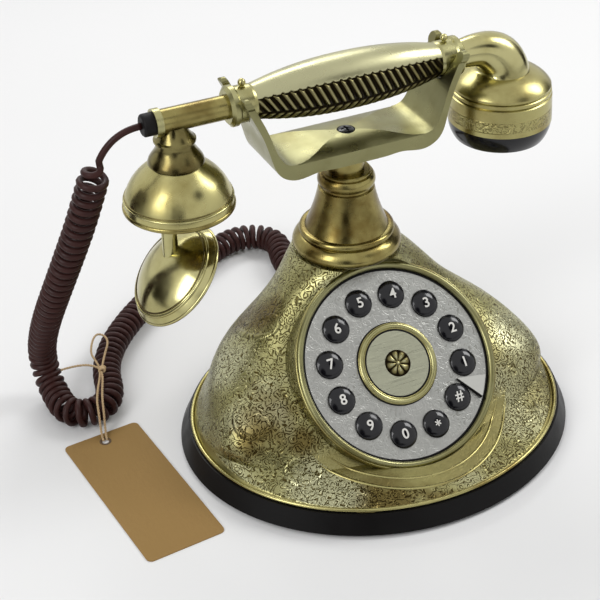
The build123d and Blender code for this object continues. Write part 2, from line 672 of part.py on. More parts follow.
def make_ear():
    with BuildPart() as ear_elbow:
        with BuildSketch(Plane((FERRULE_END, NECK_Y, HANDSET_Z), x_dir=(0, 1, 0), z_dir=(1, 0, 0))):
            Circle(7.4)
        for turn, reach, radius in [(0, 14.2, 8.3), (30, 16.3, 9.8), (60, 19.6, 12.4),
                                    (90, EAR_X - FAN_X, EAR_TOP_RADIUS)]:
            out = Vector(sin(radians(turn)), 0, cos(radians(turn)))
            along = Vector(cos(radians(turn)), 0, -sin(radians(turn)))
            place = Vector(FAN_X, NECK_Y, EAR_TOP) + out * reach
            with BuildSketch(Plane(place, x_dir=(0, 1, 0), z_dir=along)):
                Circle(radius)
        loft()
    save(ear_elbow, "ear_elbow")

    groove = EAR_TOP - 13
    with BuildPart() as ear_bell:
        with BuildSketch(EAR_PLANE):
            with BuildLine():
                Line((0, EAR_TOP), (EAR_TOP_RADIUS, EAR_TOP))
                Spline(
                    (EAR_TOP_RADIUS, EAR_TOP),
                    (19, EAR_TOP - 1.4),
                    (23.5, EAR_TOP - 4),
                    (27, groove + 5.4),
                )
                Polyline(
                    (27, groove + 5.4),
                    (27, groove + 4.2),
                    (26.4, groove + 3.6),
                    (27.4, groove + 3),
                    (27.4, groove + 1.4),
                    (26.8, groove + 0.6),
                    (27.8, groove),
                )
                Spline((27.8, groove), (28.1, EAR_BOTTOM + 8), (EAR_RADIUS, EAR_BOTTOM))
                Polyline((EAR_RADIUS, EAR_BOTTOM), (EAR_RADIUS - BELL_WALL, EAR_BOTTOM),
                         (EAR_RADIUS - BELL_WALL - 1, groove + 3))
                Spline((EAR_RADIUS - BELL_WALL - 1, groove + 3), (20, EAR_TOP - 5), (0, EAR_TOP - 3))
                Line((0, EAR_TOP - 3), (0, EAR_TOP))
            make_face()
        revolve(axis=EAR_AXIS)
    save(ear_bell, "ear_bell")

    with BuildPart() as ear_cover:
        with BuildSketch(EAR_PLANE):
            with BuildLine():
                Polyline((0, EAR_BOTTOM), (EAR_RADIUS - 0.2, EAR_BOTTOM))
                Spline(
                    (EAR_RADIUS - 0.2, EAR_BOTTOM),
                    (EAR_RADIUS - 0.8, EAR_BOTTOM - 4),
                    (EAR_RADIUS - 3.4, COVER_BOTTOM),
                )
                Polyline((EAR_RADIUS - 3.4, COVER_BOTTOM), (0, COVER_BOTTOM + 4), (0, EAR_BOTTOM))
            make_face()
        revolve(axis=EAR_AXIS)
        with Locations((EAR_X, NECK_Y, EAR_BOTTOM)):
            with PolarLocations(5, 6):
                Cylinder(1.3, 40, mode=Mode.SUBTRACT)
    save(ear_cover, "ear_cover")

    with BuildPart() as ear_speaker:
        with Locations((EAR_X, NECK_Y, EAR_BOTTOM)):
            Cylinder(18, 8, align=BOTTOM)
    save(ear_speaker, "ear_speaker")


def make_transmitter():
    with BuildPart() as mic_neck:
        with BuildSketch(MIC_PLANE):
            with BuildLine():
                Line((0, MIC_RING_Z), (14.2, MIC_RING_Z))
                Spline(
                    (14.2, MIC_RING_Z),
                    (13.6, MIC_RING_Z + 2),
                    (10.6, MIC_RING_Z + 6.6),
                    (9.6, MIC_RING_Z + 11),
                )
                Polyline(
                    (9.6, MIC_RING_Z + 11),
                    (10.6, MIC_RING_Z + 11.6),
                    (10.6, MIC_RING_Z + 12.6),
                    (9.6, MIC_RING_Z + 13.2),
                )
                Spline((9.6, MIC_RING_Z + 13.2), (7.6, HANDSET_Z - 7), (6.1, HANDSET_Z - 3))
                Polyline((6.1, HANDSET_Z - 3), (0, HANDSET_Z - 3), (0, MIC_RING_Z))
            make_face()
        revolve(axis=MIC_AXIS)
        with BuildSketch(Plane((2 * MIC_X, NECK_Y, HANDSET_Z), x_dir=(0, 1, 0), z_dir=(1, 0, 0))):
            Circle(TUBE_RADIUS + SEAT_FIT)
        extrude(amount=-2 * MIC_X, mode=Mode.SUBTRACT)
        ring_end = Vector(TUBE_END + RING_SPAN, NECK_Y, HANDSET_Z)
        with BuildSketch(Plane(ring_end, x_dir=(0, 1, 0), z_dir=(-1, 0, 0))):
            Circle(TUBE_RADIUS + RING_HEIGHT)
        extrude(amount=RING_SPAN, mode=Mode.SUBTRACT)
    save(mic_neck, "mic_neck")

    with BuildPart() as mic_bell:
        with BuildSketch(MIC_PLANE):
            with BuildLine():
                Line((0, MIC_RING_Z), (12.4, MIC_RING_Z))
                Spline(
                    (12.4, MIC_RING_Z),
                    (16.4, MIC_RING_Z - 3.4),
                    (21.2, MIC_RING_Z - 8),
                    (25.4, MIC_BOTTOM + 8.6),
                    (MIC_RADIUS, MIC_BOTTOM),
                )
                Line((MIC_RADIUS, MIC_BOTTOM), (MIC_RADIUS - BELL_WALL, MIC_BOTTOM))
                Spline(
                    (MIC_RADIUS - BELL_WALL, MIC_BOTTOM),
                    (22.6, MIC_BOTTOM + 8.6),
                    (18, MIC_RING_Z - 8.6),
                    (10, MIC_RING_Z - 3.6),
                    (0, MIC_RING_Z - 2.6),
                )
                Line((0, MIC_RING_Z - 2.6), (0, MIC_RING_Z))
            make_face()
        revolve(axis=MIC_AXIS)
    save(mic_bell, "mic_bell")

    with BuildPart() as mic_plate:
        with Locations((MIC_X, NECK_Y, MIC_BOTTOM)):
            Cylinder(MIC_RADIUS + 0.8, MIC_PLATE_THICK, align=(Align.CENTER, Align.CENTER, Align.MAX))
        fillet(mic_plate.edges().filter_by(GeomType.CIRCLE), 1)
    save(mic_plate, "mic_plate")

    with BuildPart() as mic_capsule:
        with Locations((MIC_X, NECK_Y, MIC_BOTTOM)):
            Cylinder(9, 7, align=BOTTOM)
    save(mic_capsule, "mic_capsule")

    slant = sqrt(0.5)
    dish_plane = Plane((DISH_X, NECK_Y, DISH_Z), x_dir=(slant, 0, slant), z_dir=(0, -1, 0))
    dish_axis = Axis((DISH_X, NECK_Y, DISH_Z), (-slant, 0, slant))
    bend = (DISH_RADIUS**2 + DISH_DEPTH**2) / (2 * DISH_DEPTH)
    centre = DISH_DEPTH - bend
    edge = DISH_RADIUS - 1.0
    edge_out = centre + sqrt(bend**2 - edge**2)
    hollow = bend - DISH_WALL
    lip = DISH_RADIUS - 3.0
    lip_in = centre + sqrt(hollow**2 - lip**2)
    middle = DISH_RADIUS * 0.55
    with BuildPart() as mouthpiece:
        with Locations((STUB_X, NECK_Y, DISH_Z + 10)):
            Cylinder(STUB_RADIUS, MIC_BOTTOM - MIC_PLATE_THICK - DISH_Z - 10, align=BOTTOM)
        with Locations((DISH_X - slant * centre, NECK_Y, DISH_Z + slant * centre)):
            Sphere(bend - DISH_WALL / 2, mode=Mode.SUBTRACT)
        with BuildSketch(dish_plane):
            with BuildLine():
                ThreePointArc(
                    (0, DISH_DEPTH),
                    (middle, centre + sqrt(bend**2 - middle**2)),
                    (edge, edge_out),
                )
                ThreePointArc((edge, edge_out), (DISH_RADIUS, 0), (edge - 0.6, -0.6))
                Line((edge - 0.6, -0.6), (lip, lip_in))
                ThreePointArc((lip, lip_in), (middle, centre + sqrt(hollow**2 - middle**2)),
                              (0, DISH_DEPTH - DISH_WALL))
                Line((0, DISH_DEPTH - DISH_WALL), (0, DISH_DEPTH))
            make_face()
        revolve(axis=dish_axis)
    save(mouthpiece, "mouthpiece")


# ---- Dial -------------------------------------------------------------------------------
def make_dial():
    with BuildPart() as dial_plate:
        with BuildSketch(dial_plane(PLATE_BACK)):
            Circle(PLATE_RADIUS)
            with PolarLocations(KEY_RING, len(KEY_NAMES), start_angle=KEY_FIRST):
                Circle(KEY_HOLE, mode=Mode.SUBTRACT)
        extrude(amount=PLATE_THICK)
        with BuildSketch(dial_plane(BOARD_TOP)):
            with PolarLocations(POST_RING, 3, start_angle=90):
                Circle(POST_RADIUS)
                Circle(SCREW_RADIUS - 0.5, mode=Mode.SUBTRACT)
        extrude(amount=PLATE_BACK - BOARD_TOP)
    save(dial_plate, "dial_plate")

    with BuildPart() as dial_bezel:
        with BuildSketch(Plane((0, DIAL_Y, DIAL_Z), x_dir=(0, 1, 1), z_dir=(1, 0, 0))):
            with BuildLine():
                Polyline((PLATE_RADIUS + 0.3, PLATE_BACK), (BEZEL_RADIUS, PLATE_BACK), (BEZEL_RADIUS, -2.4))
                ThreePointArc(
                    (BEZEL_RADIUS, -2.4),
                    (BEZEL_RADIUS - 1.8, BEZEL_TOP),
                    (PLATE_RADIUS + 0.3, -2.4),
                )
                Line((PLATE_RADIUS + 0.3, -2.4), (PLATE_RADIUS + 0.3, PLATE_BACK))
            make_face()
        revolve(axis=Axis((0, DIAL_Y, DIAL_Z), (0, -1, 1)))
    save(dial_bezel, "dial_bezel")

    with BuildPart() as medallion_ring:
        with BuildSketch(dial_plane(PLATE_TOP)):
            Circle(MEDAL_RING)
            Circle(MEDAL_DISC + SOFT_GAP, mode=Mode.SUBTRACT)
        extrude(amount=MEDAL_TOP - PLATE_TOP)
        fillet(medallion_ring.edges().group_by(Axis((0, 0, 0), (0, -1, 1)))[-1], 0.5)
    save(medallion_ring, "medallion_ring")

    with BuildPart() as medallion_disc:
        with BuildSketch(dial_plane(PLATE_TOP)):
            Circle(MEDAL_DISC)
        extrude(amount=MEDAL_TOP - PLATE_TOP - 0.4)
    save(medallion_disc, "medallion_disc")

    with BuildPart() as finger_stop:
        with BuildSketch(dial_plane(PLATE_TOP)):
            corners = [Vector(STOP_INNER, 0), Vector(STOP_OUTER, STOP_HALF), Vector(STOP_OUTER, -STOP_HALF)]
            with BuildLine():
                Polyline(*[corner.rotate(Axis.Z, STOP_ANGLE) for corner in corners], close=True)
            make_face()
        extrude(amount=1.8)
    save(finger_stop, "finger_stop")


def make_keys():
    for index, name in enumerate(KEY_NAMES):
        angle = radians(KEY_FIRST + KEY_STEP * index)
        place = (KEY_RING * cos(angle), KEY_RING * sin(angle))
        with BuildPart() as key:
            with BuildSketch(dial_plane(PLATE_BACK - SLIDE_FIT)):
                with Locations(place):
                    Circle(KEY_RADIUS)
            extrude(amount=-PLATE_BACK + SLIDE_FIT - KEY_DOME)
            with BuildSketch(dial_plane(-KEY_DOME)):
                with Locations(place):
                    Circle(KEY_RADIUS)
            extrude(amount=KEY_DOME, taper=50)
            with BuildSketch(dial_plane(PLATE_BACK - SLIDE_FIT)):
                with Locations(place):
                    Circle(KEY_FLANGE)
            extrude(amount=-FLANGE_THICK)
            with BuildSketch(dial_plane(KEY_BOTTOM)):
                with Locations(place):
                    Circle(KEY_STEM)
            extrude(amount=PLATE_BACK - KEY_BOTTOM)
        save(key, "key_" + name)

    with BuildPart() as key_membrane:
        with BuildSketch(dial_plane(BOARD_TOP)):
            Circle(BOARD_RADIUS)
            with PolarLocations(POST_RING, 3, start_angle=90):
                Circle(POST_RADIUS + SOFT_GAP, mode=Mode.SUBTRACT)
        extrude(amount=MEMBRANE_THICK)
        with BuildSketch(dial_plane(MEMBRANE_TOP)):
            with PolarLocations(KEY_RING, len(KEY_NAMES), start_angle=KEY_FIRST):
                Circle(DOME_RADIUS)
        extrude(amount=DOME_TOP - MEMBRANE_TOP, taper=20)
    save(key_membrane, "key_membrane")

    with BuildPart() as keypad_board:
        with BuildSketch(dial_plane(BOARD_TOP)):
            Circle(BOARD_RADIUS)
            with PolarLocations(POST_RING, 3, start_angle=90):
                Circle(SCREW_RADIUS - 0.4, mode=Mode.SUBTRACT)
        extrude(amount=-BOARD_THICK)
    save(keypad_board, "keypad_board")

    with BuildPart() as keypad_screws:
        with BuildSketch(dial_plane(BOARD_TOP - BOARD_THICK)):
            with PolarLocations(POST_RING, 3, start_angle=90):
                Circle(POST_RADIUS)
        extrude(amount=-1.2)
        with BuildSketch(dial_plane(BOARD_TOP - BOARD_THICK)):
            with PolarLocations(POST_RING, 3, start_angle=90):
                Circle(SCREW_RADIUS - 0.5)
        extrude(amount=BOARD_THICK + 4)
    save(keypad_screws, "keypad_screws")


# ---- Handset cord -----------------------------------------------------------------------
CORD_ROUTE = [
    (PLUG_END, NECK_Y, HANDSET_Z), (-128.5, NECK_Y, HANDSET_Z), (-140.0, 41.0, 148.0),
    (-149.0, 56.0, 110.0), (-155.0, 72.0, 78.0), (-156.0, 90.0, 52.0), (-155.0, 106.0, 26.0),
    (-154.0, 96.0, FLOOR_COIL), (-153.0, 66.0, FLOOR_COIL), (-128.0, 66.0, FLOOR_COIL),
    (-120.0, 108.0, FLOOR_COIL), (-86.0, 147.0, FLOOR_COIL), (-40.0, 176.0, FLOOR_COIL),
    (2.0, 200.0, FLOOR_COIL), (26.0, 184.0, FLOOR_COIL), (RELIEF_X, 152.0, FLOOR_COIL),
    (RELIEF_X, RELIEF_Y, FLOOR_COIL),
]
LEAD_SHARE = 0.3
TAIL_SHARE = 0.5
BEND_SHARE = 0.45


def bend_radii(points):
    """A bend for each inner corner, from the shorter run beside it and the turn there."""
    radii = []
    for before, here, after in zip(points, points[1:], points[2:]):
        run_in = Vector(here) - Vector(before)
        run_out = Vector(after) - Vector(here)
        half_turn = radians(run_in.get_angle(run_out)) / 2
        radii.append(BEND_SHARE * min(run_in.length, run_out.length) / tan(half_turn))
    return radii


def smooth(share):
    return share * share * (3 - 2 * share)


def between(start, end, share):
    """The point at a share of the way from one point to another."""
    return tuple(a + (b - a) * share for a, b in zip(start, end))


class CoilLine:
    """The coil's middle line with a steady cross direction carried along it."""

    def __init__(self, points, step=0.5):
        radii = bend_radii(points)
        print("coil bends", [round(radius, 1) for radius in radii])
        wire = FilletPolyline(*points, radius=radii)
        self.length = wire.length
        count = int(self.length / step)
        self.step = self.length / count
        self.places = [wire @ (index / count) for index in range(count + 1)]
        self.ways = [wire % (index / count) for index in range(count + 1)]
        cross = self.ways[0].cross(Vector(0, 0, 1)).normalized()
        self.crosses = []
        for way in self.ways:
            cross = (cross - way * cross.dot(way)).normalized()
            self.crosses.append(cross)

    def at(self, distance):
        """Place, way and cross direction at a distance along the line."""
        share = min(max(distance / self.step, 0), len(self.places) - 1.001)
        index = int(share)
        rest = share - index
        place = self.places[index] * (1 - rest) + self.places[index + 1] * rest
        way = (self.ways[index] * (1 - rest) + self.ways[index + 1] * rest).normalized()
        cross = (self.crosses[index] * (1 - rest) + self.crosses[index + 1] * rest).normalized()
        return place, way, cross

    def bend(self, distance):
        """How sharply the line turns there, as one over the radius."""
        reach = 4 * self.step
        before = self.at(distance - reach)[1]
        after = self.at(distance + reach)[1]
        return (after - before).length / (2 * reach)


def coil_turns(line):
    """Pairs of turn and distance: the pitch opens at both ends and round the tighter bends."""
    samples = []
    distance = 0.0
    turn = 0.0
    while distance < line.length:
        samples.append((turn, distance))
        share = min(turn / RAMP_TURNS, (line.length - distance) / RAMP_LENGTH, 1)
        pitch = RAMP_PITCH + (COIL_PITCH - RAMP_PITCH) * smooth(share)
        room = 1 - (COIL_RADIUS + SOFT_GAP) * line.bend(distance)
        pitch = max(pitch, (CORD_WIRE + LEAST_GAP) / max(room, 0.4))
        distance += pitch / TURN_STEPS
        turn += 1 / TURN_STEPS
    samples.append((turn, line.length))
    return samples


def coil_place(line, samples, turn):
    """The point of the wire's middle after so many turns."""
    turns = samples[-1][0]
    index = min(int(turn * TURN_STEPS), len(samples) - 2)
    (turn_0, distance_0), (turn_1, distance_1) = samples[index], samples[index + 1]
    rest = (turn - turn_0) / (turn_1 - turn_0)
    place, way, cross = line.at(distance_0 + (distance_1 - distance_0) * rest)
    radius = COIL_RADIUS * smooth(max(min(turn / RAMP_TURNS, (turns - turn) / RAMP_TURNS, 1), 0))
    up = way.cross(cross)
    angle = 2 * pi * turn
    return place + (cross * cos(angle) + up * sin(angle)) * radius


def biarc(start, start_way, end, end_way):
    """Two arcs that leave and arrive along the given ways."""
    span = end - start
    ways = start_way + end_way
    spare = 2 * (1 - start_way.dot(end_way))
    along = span.dot(ways)
    reach = (sqrt(along**2 + spare * span.dot(span)) - along) / spare
    joint = (start + start_way * reach + end - end_way * reach) / 2
    joint_way = ((end - end_way * reach) - (start + start_way * reach)).normalized()
    return [
        TangentArc(start, joint, tangent=start_way),
        TangentArc(joint, end, tangent=joint_way),
    ]


def make_cord():
    coil_start = between(CORD_ROUTE[1], CORD_ROUTE[2], LEAD_SHARE)
    coil_end = between(CORD_ROUTE[-1], CORD_ROUTE[-2], TAIL_SHARE)
    lead_route = [*CORD_ROUTE[:2], coil_start]
    line = CoilLine([coil_start, *CORD_ROUTE[2:-1], coil_end])
    samples = coil_turns(line)
    turns = samples[-1][0]
    halves = int(2 * turns)
    stops = []
    for index in range(halves + 1):
        turn = turns * index / halves
        stops.append(turn)
        if turn < RAMP_TURNS or turn > turns - RAMP_TURNS - 0.5:
            stops.append(turn + turns * 0.5 / halves)
    stops = stops[:-1]
    little = 0.002
    places = [coil_place(line, samples, turn) for turn in stops]
    ways = []
    for turn in stops:
        before = coil_place(line, samples, max(turn - little, 0))
        after = coil_place(line, samples, min(turn + little, turns))
        ways.append((after - before).normalized())
    places[0], places[-1] = line.places[0], line.places[-1]
    ways[0], ways[-1] = line.ways[0], line.ways[-1]
    arcs = []
    for index in range(len(stops) - 1):
        arcs += biarc(places[index], ways[index], places[index + 1], ways[index + 1])
    lead = FilletPolyline(*lead_route, radius=bend_radii(lead_route))
    tail = Line(coil_end, CORD_ROUTE[-1])
    print("coil line", round(line.length, 1), "curls", round(turns, 1), "wire bends",
          round(min(arc.radius for arc in arcs), 2), "arcs", len(arcs))
    print("lead bends", bend_radii(lead_route))
    print("least gap", round(least_gap(arcs), 2))
    with BuildPart() as handset_cord:
        with BuildSketch(Plane(CORD_ROUTE[0], z_dir=(-1, 0, 0))):
            Circle(CORD_WIRE / 2)
        sweep(path=Wire([*lead.edges(), *arcs, *tail.edges()]))
    save(handset_cord, "handset_cord")


def least_gap(arcs):
    """The least clear distance between parts of the wire that aren't neighbours along it."""
    points = []
    for arc in arcs:
        points += [arc @ share for share in (0, 0.25, 0.5, 0.75)]
    places = [(point.X, point.Y, point.Z) for point in points]
    reach = 6 * 4 * 4
    gap = 1000.0
    for index, (x, y, z) in enumerate(places):
        for other in range(index + 7, min(index + reach, len(places))):
            near = places[other]
            apart = (near[0] - x) ** 2 + (near[1] - y) ** 2 + (near[2] - z) ** 2
            gap = min(gap, apart)
    return sqrt(gap) - CORD_WIRE


# ---- Strain relief, tag and twine -------------------------------------------------------
def make_relief():
    with BuildPart() as cord_relief:
        with BuildSketch(Plane((RELIEF_X, 0, RELIEF_Z), x_dir=(1, 0, 0), z_dir=(0, 0, 1))):
            with BuildLine():
                Polyline(
                    (0, RELIEF_ROOT),
                    (RELIEF_RADIUS, RELIEF_ROOT),
                    (RELIEF_RADIUS, RELIEF_COLLAR),
                    (RELIEF_RADIUS + 0.9, RELIEF_COLLAR),
                    (RELIEF_RADIUS + 0.9, RELIEF_COLLAR + 3),
                    (RELIEF_RADIUS, RELIEF_COLLAR + 4),
                    (CORD_WIRE / 2 + 0.8, RELIEF_Y),
                    (0, RELIEF_Y),
                    close=True,
                )
            make_face()
        revolve(axis=Axis((RELIEF_X, 0, RELIEF_Z), (0, 1, 0)))
    save(cord_relief, "cord_relief")


def make_tag():
    with BuildPart() as hang_tag:
        table = Plane((TAG_X, TAG_Y, 0), x_dir=(1, 0, 0), z_dir=(0, 0, 1))
        with BuildSketch(table.rotated((0, 0, TAG_TURN))):
            RectangleRounded(TAG_WIDTH, TAG_LENGTH, 3)
            with Locations((0, TAG_LENGTH / 2 - 7)):
                Circle(TAG_HOLE, mode=Mode.SUBTRACT)
        extrude(amount=TAG_THICK)
    save(hang_tag, "hang_tag")

    hole = Location((TAG_X, TAG_Y, 0), (0, 0, TAG_TURN)) * Location((0, TAG_LENGTH / 2 - 7, 0))
    start = hole.position
    top = FLOOR_COIL + COIL_RADIUS + CORD_WIRE / 2 + SOFT_GAP + TWINE_RADIUS
    knot = Vector(-127.0, 86, top + KNOT_RADIUS - TWINE_RADIUS)
    strands = []
    for side in (-1, 1):
        route = [
            (start.X + side, start.Y, TAG_THICK + TWINE_RADIUS + 0.05),
            (start.X + side * 1.2 + 1, start.Y + 6, TAG_THICK + TWINE_RADIUS + 0.4),
            (start.X + side * 1.4 + 2, start.Y + 9, top - 5),
            (start.X + side * 1.6 + 4, start.Y + 17, top + 0.8),
            (knot.X + side * 0.6, knot.Y, knot.Z),
        ]
        strands.append(FilletPolyline(*route, radius=bend_radii(route)))
    with BuildPart() as tag_twine:
        for strand in strands:
            with BuildSketch(Plane(strand @ 0, z_dir=strand % 0)):
                Circle(TWINE_RADIUS)
            sweep(path=strand)
        with Locations(knot):
            Sphere(KNOT_RADIUS)
    save(tag_twine, "tag_twine")


make_base()
make_shell()
make_neck()
make_hook()
make_cradle()
make_grip()
make_ear()
make_transmitter()
make_dial()
make_keys()
make_cord()
make_relief()
make_tag()
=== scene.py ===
"""Looks of the french-style cradle phone: engraved brass, black keys, curly cord and card tag."""

import json
import math

import bmesh
import bpy
import numpy as np
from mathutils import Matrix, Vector
from mathutils.bvhtree import BVHTree


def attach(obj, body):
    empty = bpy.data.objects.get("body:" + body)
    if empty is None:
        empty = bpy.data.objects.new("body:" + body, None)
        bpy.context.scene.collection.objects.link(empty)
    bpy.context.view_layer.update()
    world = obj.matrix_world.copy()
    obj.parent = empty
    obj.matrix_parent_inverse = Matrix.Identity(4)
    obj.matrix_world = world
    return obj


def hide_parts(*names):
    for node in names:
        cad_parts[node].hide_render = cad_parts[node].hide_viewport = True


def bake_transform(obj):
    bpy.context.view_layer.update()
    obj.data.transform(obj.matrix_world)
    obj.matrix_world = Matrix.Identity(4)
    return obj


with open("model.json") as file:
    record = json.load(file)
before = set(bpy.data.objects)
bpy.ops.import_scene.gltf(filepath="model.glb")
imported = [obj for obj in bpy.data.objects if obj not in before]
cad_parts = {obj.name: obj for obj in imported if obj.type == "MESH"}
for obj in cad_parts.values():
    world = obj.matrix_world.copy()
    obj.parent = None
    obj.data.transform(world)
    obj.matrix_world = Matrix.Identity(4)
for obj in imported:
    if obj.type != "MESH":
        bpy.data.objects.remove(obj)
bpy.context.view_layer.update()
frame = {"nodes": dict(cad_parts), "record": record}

NODES = frame["nodes"]

# ---- Camera: fitted to the photograph ------------------------------------------------------------
CAMERA_PLACE = (-0.3252, -0.6117, 0.5420)
CAMERA_WAY = (0.391, 0.752, -0.531)
CAMERA_LENS = 94.5
CAMERA_SHIFT = (-0.106, -0.081)

camera = bpy.data.objects.new("camera", bpy.data.cameras.new("camera"))
bpy.context.scene.collection.objects.link(camera)
camera.data.sensor_width = 36
camera.data.lens = CAMERA_LENS
camera.data.shift_x, camera.data.shift_y = CAMERA_SHIFT
camera.location = CAMERA_PLACE
camera.rotation_euler = Vector(CAMERA_WAY).to_track_quat("-Z", "Y").to_euler()
bpy.context.scene.camera = camera
bpy.context.scene.view_settings.view_transform = "Standard"


# ---- Mesh helpers --------------------------------------------------------------------------------
SPLINE_STEPS = 24


def piece(name, verts, faces, relief=None):
    """A smooth mesh object; relief is a value from 0, a groove, to 1, a ridge, at each vertex."""
    mesh = bpy.data.meshes.new(name)
    mesh.from_pydata([tuple(v) for v in verts], [], faces)
    mesh.validate()
    mesh.polygons.foreach_set("use_smooth", [True] * len(mesh.polygons))
    if relief is not None:
        values = mesh.attributes.new("relief", "FLOAT", "POINT")
        values.data.foreach_set("value", np.asarray(relief, np.float32))
    made = bpy.data.objects.new(name, mesh)
    bpy.context.scene.collection.objects.link(made)
    return made


def dress(made, body, look, replaces=()):
    """Gives a piece its body and material, and hides the CAD nodes that it stands for."""
    made.data.materials.clear()
    made.data.materials.append(look)
    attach(made, body)
    if replaces:
        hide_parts(*replaces)
    return made


def grid_faces(rows, columns):
    """Quads of a grid of rows of points; each row closes on itself."""
    faces = []
    for row in range(rows - 1):
        for column in range(columns):
            after = (column + 1) % columns
            start, over = row * columns, (row + 1) * columns
            faces.append((start + column, start + after, over + after, over + column))
    return faces


def frames(points, closed=False):
    """Two normals at each point, carried along the line without twist."""
    points = np.asarray(points, float)
    if closed:
        ways = np.roll(points, -1, 0) - np.roll(points, 1, 0)
    else:
        ways = np.gradient(points, axis=0)
    ways /= np.linalg.norm(ways, axis=1)[:, None]
    side = np.cross(ways[0], (0.0, 0.0, 1.0))
    if np.linalg.norm(side) < 0.2:
        side = np.cross(ways[0], (0.0, 1.0, 0.0))
    sides = np.empty_like(points)
    for index, way in enumerate(ways):
        side = side - way * side.dot(way)
        side /= np.linalg.norm(side)
        sides[index] = side
    return points, sides, np.cross(ways, sides)


def tube(name, points, radius, sides=12, closed=False, relief=None):
    """A round tube along points, with one radius or one for each point."""
    points, first, second = frames(points, closed)
    radii = np.broadcast_to(np.asarray(radius, float), (len(points),))
    angles = np.linspace(0, 2 * math.pi, sides, endpoint=False)
    ring = np.cos(angles)[None, :, None] * first[:, None] + np.sin(angles)[None, :, None] * second[:, None]
    verts = (points[:, None] + ring * radii[:, None, None]).reshape(-1, 3)
    faces = grid_faces(len(points), sides)
    last = (len(points) - 1) * sides
    if closed:
        faces += [(last + i, last + (i + 1) % sides, (i + 1) % sides, i) for i in range(sides)]
    else:
        faces.append(tuple(range(sides))[::-1])
        faces.append(tuple(last + i for i in range(sides)))
    values = None if relief is None else np.repeat(relief, sides)
    return piece(name, verts, faces, values)


def lathe(name, profile, base, axis, steps):
    """A turned piece: profile is pairs of radius and height along the axis."""
    axis = Vector(axis).normalized()
    side = axis.orthogonal().normalized()
    other = axis.cross(side)
    verts = []
    for radius, height in profile:
        for step in range(steps):
            angle = 2 * math.pi * step / steps
            out = side * math.cos(angle) + other * math.sin(angle)
            verts.append(Vector(base) + axis * height + out * max(radius, 1e-5))
    return piece(name, verts, grid_faces(len(profile), steps))


def sample(curve_points, count):
    """Points at equal steps along a polyline, and its length."""
    points = np.asarray(curve_points, float)
    steps = np.linalg.norm(np.diff(points, axis=0), axis=1)
    run = np.concatenate([[0], np.cumsum(steps)])
    wanted = np.linspace(0, run[-1], count)
    return np.stack([np.interp(wanted, run, points[:, i]) for i in range(3)], 1), run[-1]


def nurbs_line(route):
    """The points of the route's NURBS spline, as Blender gives them."""
    curve = bpy.data.curves.new("line", "CURVE")
    curve.dimensions = "3D"
    spline = curve.splines.new("NURBS")
    spline.points.add(len(route) - 1)
    for point, place in zip(spline.points, route):
        point.co = (*place, 1)
    spline.order_u = 3
    spline.use_endpoint_u = True
    spline.resolution_u = SPLINE_STEPS
    holder = bpy.data.objects.new("line", curve)
    bpy.context.scene.collection.objects.link(holder)
    mesh = bpy.data.meshes.new_from_object(holder)
    points = np.array([v.co for v in mesh.vertices], float)
    bpy.data.objects.remove(holder)
    bpy.data.meshes.remove(mesh)
    return points


# ---- Handset cord --------------------------------------------------------------------------------
CORD_ROUTE = [
    (-0.110, 0.0335, 0.192), (-0.1285, 0.0335, 0.192), (-0.140, 0.041, 0.148), (-0.149, 0.056, 0.110),
    (-0.155, 0.072, 0.078), (-0.156, 0.090, 0.052), (-0.155, 0.106, 0.026), (-0.154, 0.096, 0.0084),
    (-0.153, 0.066, 0.0084), (-0.128, 0.066, 0.0084), (-0.120, 0.108, 0.0084), (-0.086, 0.147, 0.0084),
    (-0.040, 0.176, 0.0084), (0.002, 0.200, 0.0084), (0.026, 0.184, 0.0084), (0.015, 0.152, 0.0084),
    (0.015, 0.106, 0.0084),
]
CORD_WIRE = 0.0035
COIL_RADIUS = 0.00625
COIL_PITCH = 0.0050
RAMP_PITCH = 0.017
RAMP_LENGTH = 0.013
COIL_FROM = (-0.132, 0.0358, 0.179)
COIL_TO = (0.015, 0.129, 0.0084)
CORD_SAMPLES = 6000
CORD_STEP = 0.0019


def smooth(share):
    """A soft step from 0 to 1."""
    share = np.clip(share, 0, 1)
    return share * share * (3 - 2 * share)


def curly_path():
    """The wire's centre line: a lead, the curls and a tail, round the route's spline."""
    line, length = sample(nurbs_line(CORD_ROUTE), CORD_SAMPLES)
    start = int(np.argmin(np.linalg.norm(line - COIL_FROM, axis=1)))
    stop = int(np.argmin(np.linalg.norm(line - COIL_TO, axis=1)))
    step = length / (len(line) - 1)
    run = np.arange(len(line)) * step
    since = run - run[start]
    left = run[stop] - run
    ramp = smooth(np.minimum(since, left) / RAMP_LENGTH)
    turning = (since > 0) & (left > 0)
    pitch = RAMP_PITCH + (COIL_PITCH - RAMP_PITCH) * ramp
    angle = np.cumsum(np.where(turning, 2 * math.pi * step / pitch, 0))
    radius = np.where(turning, COIL_RADIUS * ramp, 0)
    centre, first, second = frames(line)
    wire = centre + radius[:, None] * (np.cos(angle)[:, None] * first + np.sin(angle)[:, None] * second)
    total = np.linalg.norm(np.diff(wire, axis=0), axis=1).sum()
    return sample(wire, int(total / CORD_STEP))


cord_points, cord_length = curly_path()
curly_cord = tube("curly_cord", cord_points, CORD_WIRE / 2, sides=10)
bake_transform(curly_cord)
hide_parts("handset_cord")


